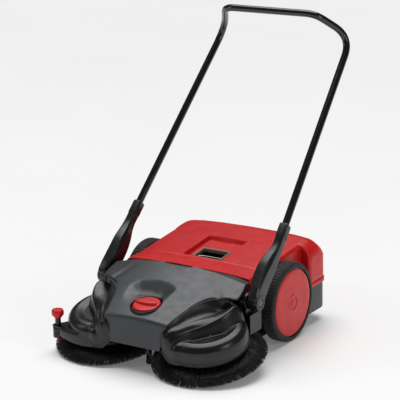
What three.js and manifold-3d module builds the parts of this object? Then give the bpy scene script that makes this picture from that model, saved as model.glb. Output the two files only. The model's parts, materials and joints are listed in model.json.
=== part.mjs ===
// Walk-behind push sweeper with two tilted disc brushes, a sweeping roller and a lift-off hopper.
// Millimetres, +Z up. The machine's front faces -Y and it is symmetric about x = 0, apart from
// the guide roller and brush press on its -X front corner. The floor is z = 0.
import * as THREE from 'three';
import { mergeVertices } from 'three/addons/utils/BufferGeometryUtils.js';
import Module from 'manifold-3d';

const wasm = await Module();
wasm.setup();

// ---------- driving dimensions ----------
const sides = { left: -1, right: 1 };
const gap = 0.3;
const sheet = 3;

// wheels with a ring gear inside, and the layshafts that they drive
const axleY = 20;
const wheelRadius = 136;
const rimRadius = 118;
const wheelIn = 253;
const wheelOut = 303;
const discRadius = 115;
const stubRadius = 10;
const gearModule = 4;
const ringTeeth = 48;
const pinionTeeth = 9;
const ringRadius = gearModule * ringTeeth / 2;
const pinionRadius = gearModule * pinionTeeth / 2;
const meshAngle = THREE.MathUtils.degToRad(170);
const layRadius = 7;
const layY = axleY + (ringRadius - pinionRadius) * Math.cos(meshAngle);
const layZ = wheelRadius + (ringRadius - pinionRadius) * Math.sin(meshAngle);
const layPulley = 20;
const beltRadius = 2.6;
const beltSteps = 52;

// disc brushes, tilted forward about X
const brushX = 193;
const brushY = -336;
const brushZ = 43;
const brushRadius = 192.6;
const brushTilt = THREE.MathUtils.degToRad(12.5);
const brushPulley = 36;
const brushBelt = 76;
const spindleRadius = 8;
const carrierLow = 88;
const carrierHigh = 97;

// sweeping roller across the machine, behind the discs
const rollerY = -78;
const rollerZ = 61.5;
const rollerRadius = 60.5;
const rollerHalf = 196;
const rollerPulley = 26;
const rollerBeltX = -209;

// chassis
const plateIn = 226;
const plateOut = 234;
const chassisBottom = 32;
const chassisFront = -235;
const deckLow = 182;
const deckHigh = 187;
const noseLow = 165;

// hood
const creaseY = -471;
const creaseZ = 184;
const hoodRise = 0.407;
const hoodCrown = 0.00047;
const wellRadius = 55.5;

// handle
const pivot = new THREE.Vector3(307, -217, 208);
const knee = new THREE.Vector3(259, 513, 954);
const corner = new THREE.Vector3(182, 393, 1047.5);
const tubeRadius = 12.5;
const tubeWall = 1.5;
const socketLength = 291;
const tubeDepth = 52;

// height adjuster on the centre line
const knobPlace = [0, -405, 208];
const knobTilt = THREE.MathUtils.degToRad(10);
const knobRadius = 50;
const supportY = -400;
const supportRadius = 13;

// guide roller and brush press
const guideX = -334;
const guideY = -447;
const guideLow = 49;
const guideHigh = 85;

// hopper
const coverFront = -165;
const coverBack = 300;
const coverNarrow = 247;
const coverWide = 285;
const wideFront = 166;
const seam = 140;
const seamNarrow = 190;
const tubNarrow = 221;
const tubFront = -5;
const tubBottom = 45;
const archRadius = 148;

// ---------- materials ----------
function finish(color, roughness, metalness = 0) {
  return new THREE.MeshStandardMaterial({ color, roughness, metalness });
}
const blackPlastic = finish(0x1d1f1e, 0.38);
const greyPlastic = finish(0x45474b, 0.45);
const redPlastic = finish(0xc4141c, 0.4);
const tubPlastic = finish(0x3b3c3e, 0.55);
const rimPlastic = finish(0x8d8779, 0.5);
const tyreRubber = finish(0x17181a, 0.8);
const beltRubber = finish(0x101010, 0.75);
const bristle = finish(0x121212, 0.65);
const paintedTube = finish(0x0f1012, 0.25, 0.3);
const steel = finish(0xa9abad, 0.35, 1);
const bearingNylon = finish(0xd8d6cd, 0.5);

// ---------- booleans ----------
function toSolid(geometry) {
  const bare = geometry.clone();
  bare.deleteAttribute('normal');
  bare.deleteAttribute('uv');
  const welded = mergeVertices(bare, 1e-3);
  const vertProperties = new Float32Array(welded.attributes.position.array);
  const triVerts = new Uint32Array(welded.index.array);
  const solid = new wasm.Manifold(new wasm.Mesh({ numProp: 3, vertProperties, triVerts }));
  if (solid.volume() > 0) return solid;
  for (let i = 0; i < triVerts.length; i += 3) {
    [triVerts[i], triVerts[i + 1]] = [triVerts[i + 1], triVerts[i]];
  }
  return new wasm.Manifold(new wasm.Mesh({ numProp: 3, vertProperties, triVerts }));
}

function toGeometry(solid) {
  const mesh = solid.getMesh();
  const geometry = new THREE.BufferGeometry();
  geometry.setAttribute('position', new THREE.BufferAttribute(mesh.vertProperties, 3));
  geometry.setIndex(new THREE.BufferAttribute(mesh.triVerts, 1));
  geometry.computeVertexNormals();
  return geometry;
}

function join(first, ...others) {
  return toGeometry(others.reduce((sum, next) => sum.add(toSolid(next)), toSolid(first)));
}

function cut(first, ...others) {
  return toGeometry(others.reduce((rest, next) => rest.subtract(toSolid(next)), toSolid(first)));
}

function common(first, second) {
  return toGeometry(toSolid(first).intersect(toSolid(second)));
}

// ---------- shapes ----------
// A box from its low corner to its high corner.
function box(low, high) {
  const size = high.map((value, i) => value - low[i]);
  const middle = high.map((value, i) => (value + low[i]) / 2);
  return new THREE.BoxGeometry(...size).translate(...middle);
}

// A box between two distances from the machine's middle plane, on one side of it.
function sideBox(side, from, to, y0, y1, z0, z1) {
  const [x0, x1] = [side * from, side * to].sort((a, b) => a - b);
  return box([x0, y0, z0], [x1, y1, z1]);
}

// A profile of [radius, distance] pairs turned about the x or z axis through a centre.
// Distances count outward from the middle plane when the axis is x and a side is given.
function turned(profile, segments, axis, centre, side = 1) {
  const points = profile.map(([r, h]) => new THREE.Vector2(r, h * side));
  const geometry = new THREE.LatheGeometry(points, segments);
  if (axis === 'x') geometry.rotateZ(-Math.PI / 2);
  else geometry.rotateX(Math.PI / 2);
  return geometry.translate(...centre);
}

function rod(radius, from, to, segments, axis, centre, side = 1) {
  return turned([[0, from], [radius, from], [radius, to], [0, to]], segments, axis, centre, side);
}

function sleeve(bore, radius, from, to, segments, axis, centre, side = 1) {
  const outline = [[bore, from], [radius, from], [radius, to], [bore, to], [bore, from]];
  return turned(outline, segments, axis, centre, side);
}

// A flat outline of [y, z] pairs pushed along x.
function prismX(outline, from, to) {
  const shape = new THREE.Shape(outline.map(([y, z]) => new THREE.Vector2(y, z)));
  const geometry = new THREE.ExtrudeGeometry(shape, { depth: to - from, bevelEnabled: false });
  return geometry.rotateX(Math.PI / 2).rotateZ(Math.PI / 2).translate(from, 0, 0);
}

// A flat outline of [x, y] pairs pushed up along z.
function prismZ(outline, from, to) {
  const shape = new THREE.Shape(outline.map(([x, y]) => new THREE.Vector2(x, y)));
  const geometry = new THREE.ExtrudeGeometry(shape, { depth: to - from, bevelEnabled: false });
  return geometry.translate(0, 0, from);
}

// Quads between rings of points. Closed rings wrap round; the stack of rings can wrap too.
function strips(rings, wrapRings) {
  const count = rings[0].length;
  const faces = [];
  const last = wrapRings ? rings.length : rings.length - 1;
  for (let i = 0; i < last; i++) {
    for (let j = 0; j < count; j++) {
      const a = i * count + j;
      const b = i * count + (j + 1) % count;
      const c = ((i + 1) % rings.length) * count + (j + 1) % count;
      const d = ((i + 1) % rings.length) * count + j;
      faces.push(a, b, c, a, c, d);
    }
  }
  return faces;
}

function meshFrom(points, faces) {
  const geometry = new THREE.BufferGeometry();
  const flat = points.flatMap((p) => [p.x, p.y, p.z]);
  geometry.setAttribute('position', new THREE.Float32BufferAttribute(flat, 3));
  geometry.setIndex(faces);
  return geometry;
}

// A solid lofted through convex rings of points, closed by a flat fan at each end.
function loft(rings) {
  const count = rings[0].length;
  const faces = strips(rings, false);
  const start = (rings.length - 1) * count;
  for (let j = 1; j < count - 1; j++) {
    faces.push(0, j + 1, j);
    faces.push(start, start + j, start + j + 1);
  }
  return meshFrom(rings.flat(), faces);
}

// Rings of points round a path. A looped path joins its own start.
function ringsAlong(path, radius, spokes, looped) {
  const across = new THREE.Vector3(0, 0, 1);
  return path.map((point, i) => {
    const count = path.length;
    const before = looped ? path[(i + count - 1) % count] : path[Math.max(i - 1, 0)];
    const after = looped ? path[(i + 1) % count] : path[Math.min(i + 1, count - 1)];
    const along = after.clone().sub(before).normalize();
    if (Math.abs(along.dot(across)) > 0.98) across.set(1, 0, 0);
    across.addScaledVector(along, -across.dot(along)).normalize();
    const up = along.clone().cross(across);
    return ring(spokes, (angle) => point.clone()
      .addScaledVector(across, radius * Math.cos(angle))
      .addScaledVector(up, radius * Math.sin(angle)));
  });
}

// A solid round bar along points.
function bar(path, radius, spokes) {
  return loft(ringsAlong(path, radius, spokes, false));
}

// A round belt along a closed path.
function belt(path, radius, spokes) {
  const rings = ringsAlong(path, radius, spokes, true);
  return meshFrom(rings.flat(), strips(rings, true));
}

// A hollow round tube along points, open at both ends.
function pipe(path, radius, wall, spokes) {
  const outer = ringsAlong(path, radius, spokes, false);
  const inner = ringsAlong(path, radius - wall, spokes, false).reverse();
  const rings = [...outer, ...inner];
  return meshFrom(rings.flat(), strips(rings, true));
}

function ring(count, pointAt) {
  return Array.from({ length: count }, (_, i) => pointAt(2 * Math.PI * i / count));
}

// A skin between a grid of outer points and the same grid moved inward by each row's offset.
function skin(outer, offsets) {
  const rings = outer.map((row, i) => {
    const inner = row.map((point) => point.clone().add(offsets[i]));
    return [...row, ...inner.reverse()];
  });
  const count = rings[0].length;
  const faces = strips(rings, false);
  const start = (rings.length - 1) * count;
  for (let j = 0; j < count / 2 - 1; j++) {
    const k = count - 1 - j;
    faces.push(j, k, k - 1, j, k - 1, j + 1);
    faces.push(start + j, start + j + 1, start + k - 1, start + j, start + k - 1, start + k);
  }
  return meshFrom(rings.flat(), faces);
}

// ---------- assembly ----------
const sweeper = new THREE.Group();

function place(name, geometry, material, parent = sweeper) {
  const mesh = new THREE.Mesh(toGeometry(toSolid(geometry)), material);
  mesh.name = name;
  parent.add(mesh);
}

// The matrix that stands a shape made round the z axis on a disc brush's tip circle.
function brushMatrix(side) {
  const turn = new THREE.Matrix4().makeRotationX(brushTilt);
  return turn.setPosition(side * brushX, brushY, brushZ);
}

// ---------- wheels ----------
// The outline of a gear about the origin: half-widths of a tooth at its inner and outer ends.
function gearOutline(teeth, inner, outer, innerHalf, outerHalf, phase) {
  const points = [];
  for (let tooth = 0; tooth < teeth; tooth++) {
    const middle = phase + 2 * Math.PI * tooth / teeth;
    for (const [radius, half] of [[inner, -innerHalf], [outer, -outerHalf], [outer, outerHalf],
      [inner, innerHalf]]) {
      const angle = middle + half / radius;
      points.push([radius * Math.cos(angle), radius * Math.sin(angle)]);
    }
  }
  return points;
}

function ringGear(side, from, to) {
  const spacePhase = meshAngle;
  const space = gearOutline(ringTeeth, ringRadius - 3, ringRadius + 4, 4.6, 2.7, spacePhase);
  const [x0, x1] = [side * from, side * to].sort((a, b) => a - b);
  const blank = rod(106, x0, x1, 28, 'x', [0, axleY, wheelRadius]);
  const bore = prismX(space, x0 - 1, x1 + 1).translate(0, axleY, wheelRadius);
  return cut(blank, bore);
}

function makeWheel(name, side) {
  const centre = [0, axleY, wheelRadius];
  const shoulder = 5;
  const tyre = [[rimRadius, wheelIn], [wheelRadius - shoulder, wheelIn],
    [wheelRadius, wheelIn + shoulder + 1], [wheelRadius, wheelOut - shoulder - 1],
    [wheelRadius - shoulder, wheelOut], [rimRadius, wheelOut], [rimRadius, wheelIn]];
  place(`tyre_${name}`, turned(tyre, 32, 'x', centre, side), tyreRubber);

  const drum = sleeve(105, rimRadius - gap, 256, 299, 32, 'x', centre, side);
  const web = sleeve(20, 106, 283, 287, 28, 'x', centre, side);
  const hub = sleeve(stubRadius + 0.5, 22, 258, 297, 16, 'x', centre, side);
  place(`wheel_rim_${name}`, join(drum, web, hub, ringGear(side, 258, 275)), blackPlastic);

  const disc = [[0, 299.4], [discRadius, 299.4], [discRadius, 301.5], [109, 303.5], [0, 304.5]];
  place(`wheel_disc_${name}`, turned(disc, 32, 'x', centre, side), redPlastic);

  const stub = [[0, 222], [17, 222], [17, 225.6], [stubRadius, 225.6], [stubRadius, 298.6],
    [0, 298.6]];
  place(`stub_axle_${name}`, turned(stub, 14, 'x', centre, side), steel);
}

// ---------- drive ----------
// A pulley's profile with a V groove for a round belt round its middle.
function pulley(bore, radius, half, middle) {
  const rim = radius + 3;
  return [[bore, middle - half], [rim, middle - half], [radius - 5.4, middle], [rim, middle + half],
    [bore, middle + half], [bore, middle - half]];
}

function makeLayshaft(name, side) {
  const centre = [0, layY, layZ];
  place(`layshaft_${name}`, rod(layRadius, 184, 276, 12, 'x', centre, side), steel);
  const bush = [[layRadius + gap, 218], [16, 218], [16, 225.7], [12, 225.7], [12, 236],
    [layRadius + gap, 236], [layRadius + gap, 218]];
  place(`layshaft_bush_${name}`, turned(bush, 12, 'x', centre, side), bearingNylon);
  const teeth = gearOutline(pinionTeeth, pinionRadius - 4, pinionRadius + 3.4, 3, 1.3,
    meshAngle);
  const [x0, x1] = [side * 258, side * 274].sort((a, b) => a - b);
  const blank = prismX(teeth, x0, x1).translate(0, layY, layZ);
  const bore = rod(layRadius + gap, x0 - 1, x1 + 1, 12, 'x', centre);
  place(`pinion_${name}`, cut(blank, bore), bearingNylon);
  const profile = pulley(layRadius + gap, layPulley, 7, brushX);
  place(`layshaft_pulley_${name}`, turned(profile, 18, 'x', centre, side), blackPlastic);
}

// The quarter-turn belt: round the back of the layshaft pulley and the front of the brush pulley.
function makeBrushBelt(name, side) {
  const matrix = brushMatrix(side);
  const points = [];
  for (let step = 0; step <= 6; step++) {
    const angle = Math.PI / 2 - Math.PI * step / 6;
    points.push(new THREE.Vector3(side * brushX, layY + layPulley * Math.cos(angle),
      layZ + layPulley * Math.sin(angle)));
  }
  for (let step = 0; step <= 8; step++) {
    const angle = Math.PI + Math.PI * step / 8;
    points.push(new THREE.Vector3(side * brushPulley * Math.cos(angle),
      brushPulley * Math.sin(angle), brushBelt).applyMatrix4(matrix));
  }
  const curve = new THREE.CatmullRomCurve3(points, true, 'centripetal');
  const path = curve.getSpacedPoints(beltSteps).slice(0, beltSteps);
  place(`brush_belt_${name}`, belt(path, beltRadius, 6), beltRubber);
}

function makeRollerBelt() {
  const run = Math.hypot(layY - rollerY, layZ - rollerZ);
  const lean = Math.atan2(layZ - rollerZ, layY - rollerY);
  const open = Math.asin((rollerPulley - layPulley) / run);
  const path = [];
  const arc = (y, z, radius, from, to) => {
    for (let step = 0; step <= 10; step++) {
      const angle = lean + from + (to - from) * step / 10;
      path.push(new THREE.Vector3(rollerBeltX, y + radius * Math.cos(angle),
        z + radius * Math.sin(angle)));
    }
  };
  const quarter = Math.PI / 2;
  arc(layY, layZ, layPulley, -quarter + open, quarter - open);
  arc(rollerY, rollerZ, rollerPulley, quarter - open, 3 * quarter + open);
  place('roller_belt', belt(path, beltRadius, 6), beltRubber);
}

// ---------- disc brushes ----------
function makeDiscBrush(name, side) {
  const group = new THREE.Group();
  group.applyMatrix4(brushMatrix(side));
  sweeper.add(group);
  const origin = [0, 0, 0];
  const bristles = [[158, 0], [brushRadius, 0], [brushRadius, 4], [122, 28], [96, 34], [96, 27],
    [158, 0]];
  place(`bristle_ring_${name}`, turned(bristles, 32, 'z', origin), bristle, group);
  const plate = [[spindleRadius + gap, 34.3], [116, 34.3], [116, 42], [30, 45], [24, 62],
    [spindleRadius + gap, 62], [spindleRadius + gap, 34.3]];
  place(`brush_plate_${name}`, turned(plate, 24, 'z', origin), blackPlastic, group);
  place(`brush_spindle_${name}`, rod(spindleRadius, 32, 105, 12, 'z', origin), steel, group);
  const groove = pulley(spindleRadius + gap, brushPulley, 8, brushBelt);
  place(`brush_pulley_${name}`, turned(groove, 24, 'z', origin), blackPlastic, group);
}

// The arm that hangs a spindle's bush from the front edge of the deck.
function makeCarrier(name, side) {
  const matrix = brushMatrix(side);
  const middle = side * brushX;
  const arm = box([-16, 0, carrierLow], [16, 118, carrierHigh]).applyMatrix4(matrix);
  const boss = rod(22, carrierLow, carrierHigh + 5, 18, 'z', [0, 0, 0]).applyMatrix4(matrix);
  const pad = box([middle - 16, -246, 158], [middle + 16, -208, deckLow - gap]);
  const hole = rod(13, carrierLow - 5, carrierHigh + 9, 14, 'z', [0, 0, 0]).applyMatrix4(matrix);
  place(`brush_carrier_${name}`, cut(join(arm, boss, pad), hole), blackPlastic);
  const bush = sleeve(spindleRadius + gap, 12.6, carrierLow, carrierHigh + 5, 14, 'z', [0, 0, 0]);
  place(`spindle_bush_${name}`, bush.applyMatrix4(matrix), bearingNylon);
}

// ---------- brush guards ----------
// The outer corner points of the arm that joins a guard to the hood: hood edge, ridge and foot.
const hoodEdge = [[124, -470, 174], [133, -434, 189], [147, -392, 204], [166, -346, 220],
  [186, -319, 228], [212, -300, 231], [240, -288, 228], [264, -276, 222]];
const armRidge = [[136, -463, 164], [152, -440, 169], [168, -410, 176], [186, -372, 182],
  [203, -342, 186], [222, -307, 190], [244, -272, 197], [264, -244, 204]];
const armFoot = [[140, -458, 110], [160, -441, 112], [182, -424, 116], [206, -404, 121],
  [228, -380, 126], [247, -346, 134], [262, -304, 143], [270, -260, 152]];

function sidePoints(list, side) {
  return list.map(([x, y, z]) => new THREE.Vector3(side * x, y, z));
}

function makeGuard(name, side) {
  const matrix = brushMatrix(side);
  const dome = [[134.8, 41.5], [138, 41.5], [137, 87], [134, 88.5], [126, 103], [103, 112],
    [0, 112], [0, 109], [101.5, 109], [123.5, 100.5], [131, 86.5], [134.8, 41.5]];
  const cap = turned(dome, 32, 'z', [0, 0, 0]).applyMatrix4(matrix);
  const behind = box([-400, chassisFront - 1, 0], [400, -100, 300]);
  const hanger = box([-plateIn, chassisFront - 14, 0], [plateIn, -100, 200]);
  const cornerPost = [[115, -452], [131, -474], [150, -468], [160, -440], [140, -430]];
  const front = prismZ(cornerPost.map(([x, y]) => [side * x, y]), 78, 150);
  const rows = [hoodEdge, armRidge, armFoot].map((list) => sidePoints(list, side));
  const offsets = [[-3, 1, -3], [-3, 2, -3], [-4, 3, -3]]
    .map(([x, y, z]) => new THREE.Vector3(side * x, y, z));
  const arm = skin(rows, offsets);
  const parts = [cap, front, arm];
  if (side < 0) parts.push(guideBracket());
  const inside = turned([[0, 0], [134.8, 0], [134.8, 41.5], [131, 86.5], [123.5, 100.5],
    [101.5, 109], [0, 109], [0, 0]], 32, 'z', [0, 0, 0]).applyMatrix4(matrix);
  const hole = rod(7 + gap, 80, 100, 16, 'z', [guideX, guideY, 0]);
  place(`brush_guard_${name}`, cut(join(...parts), behind, hanger, inside, hole), blackPlastic);
}

// The bumper that carries the guide roller, out from the front of the -X guard.
function guideBracket() {
  const plate = [[-215, -462], [-264, -470], [-330, -464], [-350, -456], [-353, -438], [-335, -424],
    [-318, -380], [-290, -390]];
  const wall = [[-215, -465], [-264, -470], [-316, -464], [-316, -461], [-264, -466.5],
    [-215, -461]];
  return join(prismZ(plate, 86, 92), prismZ(wall, 62, 88));
}

// ---------- hood ----------
// The hood's top rises backward from its front crease and falls away to both sides.
function hoodHeight(x, y) {
  return creaseZ + (y - creaseY) * hoodRise - hoodCrown * x * x;
}

function makeHood() {
  const rowsAt = [[-472, 121], [-434, 130], [-392, 144], [-346, 163], [-319, 183], [-300, 209],
    [-288, 237], [-276, 262], [-240, 264], [-203, 256]];
  const columns = [-1, -0.8, -0.55, -0.28, 0, 0.28, 0.55, 0.8, 1];
  const rows = rowsAt.map(([y, half]) => columns.map((u) => new THREE.Vector3(u * half, y,
    hoodHeight(u * half, y))));
  rows.unshift(columns.map((u) => new THREE.Vector3(u * 95, -479, 88)));
  const offsets = rows.map((_, i) => new THREE.Vector3(0, i > 1 ? 0 : sheet, i > 0 ? -sheet : 0));
  const drops = rows.map((_, i) => new THREE.Vector3(0, i > 1 ? 0 : sheet, i > 0 ? -60 : 0));
  const crest = box([-255, -206, 258], [255, -203, 320]);
  const ledge = box([-243, -207, 258], [243, coverFront - 4, 261]);
  const slot = box([-52, -222, 262], [52, -206, 320]);
  const well = tiltedKnob(rod(wellRadius, -60, 60, 24, 'z', [0, 0, 0]));
  const shell = join(skin(rows, offsets), ledge, common(crest, skin(rows, drops)));
  place('front_hood', cut(shell, slot, well), greyPlastic);
}

// ---------- chassis ----------
function makeChassis() {
  const plate = [[160, chassisBottom], [-130, chassisBottom], [-130, 100], [-150, 118],
    [chassisFront, 118], [chassisFront, deckHigh], [160, deckHigh]];
  const solids = [box([-plateIn, chassisFront, deckLow], [plateIn, -20, deckHigh])];
  const cuts = [];
  for (const side of [-1, 1]) {
    const [x0, x1] = [side * plateIn, side * plateOut].sort((a, b) => a - b);
    solids.push(prismX(plate, x0, x1));
    solids.push(sideBox(side, plateIn, 288, chassisFront, -165, 100, 165));
    solids.push(sideBox(side, plateIn, 272, chassisFront, -190, 160, pivot.z));
    solids.push(rod(26, 236, 274, 20, 'x', [0, pivot.y, pivot.z], side));
    cuts.push(rod(stubRadius + gap, 222, 238, 16, 'x', [0, axleY, wheelRadius], side));
    cuts.push(rod(12 + gap, 222, 238, 14, 'x', [0, layY, layZ], side));
    cuts.push(rod(spindleRadius + 0.5, 222, 238, 12, 'x', [0, rollerY, rollerZ], side));
    cuts.push(rod(8 + gap, 250, 280, 14, 'x', [0, pivot.y, pivot.z], side));
  }
  solids.push(box([-plateIn - 1, 120, chassisBottom], [plateIn + 1, 140, tubBottom - 1]));
  solids.push(box([-45, -445, noseLow], [45, -238, noseLow + 5]));
  solids.push(box([-45, -242, noseLow], [45, chassisFront + 2, deckHigh]));
  cuts.push(rod(13.5, noseLow - 20, noseLow + 20, 16, 'z', [0, knobPlace[1] + 7, 0]));
  place('chassis_frame', cut(join(...solids), ...cuts), blackPlastic);
}

// ---------- sweeping roller ----------
function makeRoller() {
  const centre = [0, rollerY, rollerZ];
  place('roller_shaft', rod(spindleRadius, -231, 231, 12, 'x', centre), steel);
  place('roller_core', sleeve(spindleRadius + gap, 30, -rollerHalf, rollerHalf, 20, 'x', centre),
    blackPlastic);
  place('roller_bristles', sleeve(30 + gap, rollerRadius, -rollerHalf + 4, rollerHalf - 4, 24,
    'x', centre), bristle);
  const groove = pulley(spindleRadius + gap, rollerPulley, 7, rollerBeltX);
  place('roller_pulley', turned(groove, 20, 'x', centre), blackPlastic);
  const drive = pulley(layRadius + gap, layPulley, 7, rollerBeltX);
  place('roller_drive_pulley', turned(drive, 18, 'x', [0, layY, layZ]), blackPlastic);
}

// ---------- height adjuster ----------
function tiltedKnob(geometry) {
  return geometry.rotateX(knobTilt).translate(...knobPlace);
}

function makeHeightAdjuster() {
  const origin = [0, 0, 0];
  const bezel = [[9, -14], [54.8, -14], [54.8, 1], [52, 1], [52, -11], [9, -11], [9, -14]];
  place('knob_well', tiltedKnob(turned(bezel, 24, 'z', origin)), blackPlastic);
  const dial = [[6 + gap, -10], [knobRadius, -10], [knobRadius, 0], [knobRadius - 5, 4], [0, 6],
    [0, 3], [6 + gap, 3], [6 + gap, -10]];
  const grip = loft([-10, 0, 5].map((z, i) => ring(12, (a) => new THREE.Vector3(
    (knobRadius - 4 - 3 * i) * Math.cos(a), (13 - 2 * i) * Math.sin(a), z + 7))));
  const knob = join(turned(dial, 24, 'z', origin), grip.translate(0, 0, 2));
  const clear = rod(6 + gap, -12, 3, 12, 'z', origin);
  place('height_knob', tiltedKnob(cut(knob, clear)), redPlastic);
  place('knob_screw', tiltedKnob(rod(6, -74, 2.7, 12, 'z', origin)), steel);
  const nut = [[6.4, -77.5], [11, -77.5], [11, -34], [6.4, -34], [6.4, -77.5]];
  place('height_nut', tiltedKnob(turned(nut, 12, 'z', origin)), bearingNylon);
}

// The stem that the nut pushes down, between the disc brushes, and the small roller in its fork.
function makeSupport() {
  const seat = -77.8;
  const cup = turned([[0, seat - 4], [14, seat - 4], [14, seat + 18], [11.3, seat + 18],
    [11.3, seat], [0, seat]], 16, 'z', [0, 0, 0]);
  const stem = [[-402, 127], [-380, 124], [-384, 110], [-392, 96], [-392, 36], [-408, 36],
    [-408, 106]];
  const plates = [-1, 1].map((side) => sideBox(side, 4.3, 6.3, -407, -393, 5, 36.5));
  const wheelHole = rod(3 + gap, -20, 20, 12, 'x', [0, supportY, supportRadius]);
  const solid = join(tiltedKnob(cup), prismX(stem, -6.3, 6.3), ...plates);
  place('support_stem', cut(solid, wheelHole), blackPlastic);
  const spool = [[0, -6], [3, -6], [3, -4], [supportRadius, -4], [supportRadius, 4], [3, 4],
    [3, 6], [0, 6]];
  place('support_roller', turned(spool, 20, 'x', [0, supportY, supportRadius]), tyreRubber);
}

// ---------- guide roller and brush press ----------
function makeGuideRoller() {
  const centre = [guideX, guideY, 0];
  const tubePart = [[4.4, 46], [8.6, 46], [8.6, 48.6], [7, 48.6], [7, 92.3], [9.5, 92.3],
    [9.5, 116], [4.4, 116], [4.4, 46]];
  place('guide_sleeve', turned(tubePart, 14, 'z', centre), blackPlastic);
  const roller = [[7 + gap, guideLow], [16, guideLow], [18, guideLow + 2], [18, guideHigh - 2],
    [16, guideHigh], [7 + gap, guideHigh], [7 + gap, guideLow]];
  place('guide_roller', turned(roller, 20, 'z', centre), blackPlastic);
  const stem = [[0, 31], [6, 31], [6, 37], [4, 37], [4, 137], [0, 137]];
  place('press_stem', turned(stem, 12, 'z', centre), redPlastic);
  const cap = [[4 + gap, 117], [12, 117], [14, 122], [19, 126], [20.5, 131], [20.5, 141],
    [18, 146], [0, 148], [0, 137.3], [4 + gap, 137.3], [4 + gap, 117]];
  place('press_knob', turned(cap, 18, 'z', centre), redPlastic);
}

// ---------- handle ----------
function mirrored(point, side) {
  return new THREE.Vector3(side * point.x, point.y, point.z);
}

// Points that round a path's corner between two straight stretches.
function bend(before, at, after, reach) {
  const from = at.clone().add(before.clone().sub(at).setLength(reach));
  const to = at.clone().add(after.clone().sub(at).setLength(reach));
  return new THREE.QuadraticBezierCurve3(from, at, to).getPoints(6);
}

function makeHandle() {
  const along = knee.clone().sub(pivot).normalize();
  const foot = pivot.clone().addScaledVector(along, socketLength - tubeDepth);
  const half = (side) => {
    const [start, bow, end] = [foot, knee, corner].map((point) => mirrored(point, side));
    const over = mirrored(corner, -side);
    return [start, ...bend(start, bow, end, 36), ...bend(bow, end, over, 36)];
  };
  const path = [...half(-1), ...half(1).reverse()];
  place('handle_tube', pipe(path, tubeRadius, tubeWall, 10), paintedTube);
  for (const [name, side] of Object.entries(sides)) {
    makeSocket(name, side, along);
    const bolt = [[0, 256], [8, 256], [8, 311], [13, 311], [13, 316.5], [0, 316.5]];
    place(`pivot_bolt_${name}`, turned(bolt, 14, 'x', [0, pivot.y, pivot.z], side), steel);
  }
}

// A socket: a boss round the pivot and a tapered arm that ends in a collar round the tube.
function makeSocket(name, side, along) {
  const axis = mirrored(along, side);
  const front = new THREE.Vector3(0, -axis.z, axis.y).normalize();
  const wide = front.clone().cross(axis).normalize();
  const start = mirrored(pivot, side);
  const stations = [[-4, 18, 22, 2, 4], [40, 20, 27, 10, 6], [90, 20.5, 27.5, 12, 6],
    [135, 20, 27, 12, 5], [160, 19, 24, 8, 4], [184, 17.5, 19, 3, 2], [208, 16.5, 17, 0, 0],
    [238, 16, 17, 0, 0], [240, 18, 19, 2, 1], [socketLength, 18, 19, 2, 1]];
  const rings = stations.map(([s, halfWide, halfDeep, ahead, inward]) => ring(12, (angle) => {
    const [c, d] = [Math.cos(angle), Math.sin(angle)];
    const square = (value) => Math.sign(value) * Math.sqrt(Math.abs(value));
    return start.clone().addScaledVector(axis, s)
      .addScaledVector(wide, halfWide * square(c) + side * inward)
      .addScaledVector(front, halfDeep * square(d) + ahead);
  }));
  const boss = rod(26, 277, 318, 20, 'x', [0, pivot.y, pivot.z], side);
  const end = start.clone().addScaledVector(axis, socketLength + 5);
  const seat = start.clone().addScaledVector(axis, socketLength - tubeDepth - 1);
  const bore = bar([seat, end], tubeRadius + 0.5, 14);
  const hole = rod(8 + gap, 270, 330, 14, 'x', [0, pivot.y, pivot.z], side);
  const headSeat = rod(13.5, 310.7, 335, 14, 'x', [0, pivot.y, pivot.z], side);
  const inner = sideBox(side, 200, 276.5, -400, 400, 0, 500);
  place(`handle_socket_${name}`, cut(join(loft(rings), boss), bore, hole, headSeat, inner),
    blackPlastic);
}

// ---------- hopper ----------
// The tub's or the cover's plan outline: narrow between the wheels, wide behind them.
function hopperPlan(narrow, wide, front, back, cornerRadius) {
  const half = [[narrow, front], [narrow, wideFront], [wide, wideFront]];
  for (let step = 0; step <= 5; step++) {
    const angle = Math.PI / 2 * step / 5;
    half.push([wide - cornerRadius * (1 - Math.cos(angle)),
      back - cornerRadius * (1 - Math.sin(angle))]);
  }
  return [...half, ...half.map(([x, y]) => [-x, y]).reverse()];
}

function makeTub() {
  const outer = hopperPlan(tubNarrow, coverWide - 2, tubFront, coverBack + 3, 58);
  const inner = hopperPlan(tubNarrow - 3, coverWide - 5, tubFront + 3, coverBack, 55);
  const low = prismZ(outer, tubBottom, seam - gap);
  const high = box([-tubNarrow, tubFront, seam - 2], [tubNarrow, wideFront - 6, seamNarrow - gap]);
  const hollow = prismZ(inner, tubBottom + 3, 250);
  const mouth = box([-tubNarrow + 3, tubFront - 5, 62], [tubNarrow - 3, tubFront + 9, 175]);
  place('hopper_tub', cut(join(low, high), hollow, mouth), tubPlastic);
}

// The cover's top in side view, from its front edge to the foot of its back wall.
const coverTop = [[coverFront, 272], [-80, 276], [100, 296], [215, 306], [240, 303], [262, 290],
  [296, 245], [coverBack + 4, 160], [coverBack + 4, seam]];

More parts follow.
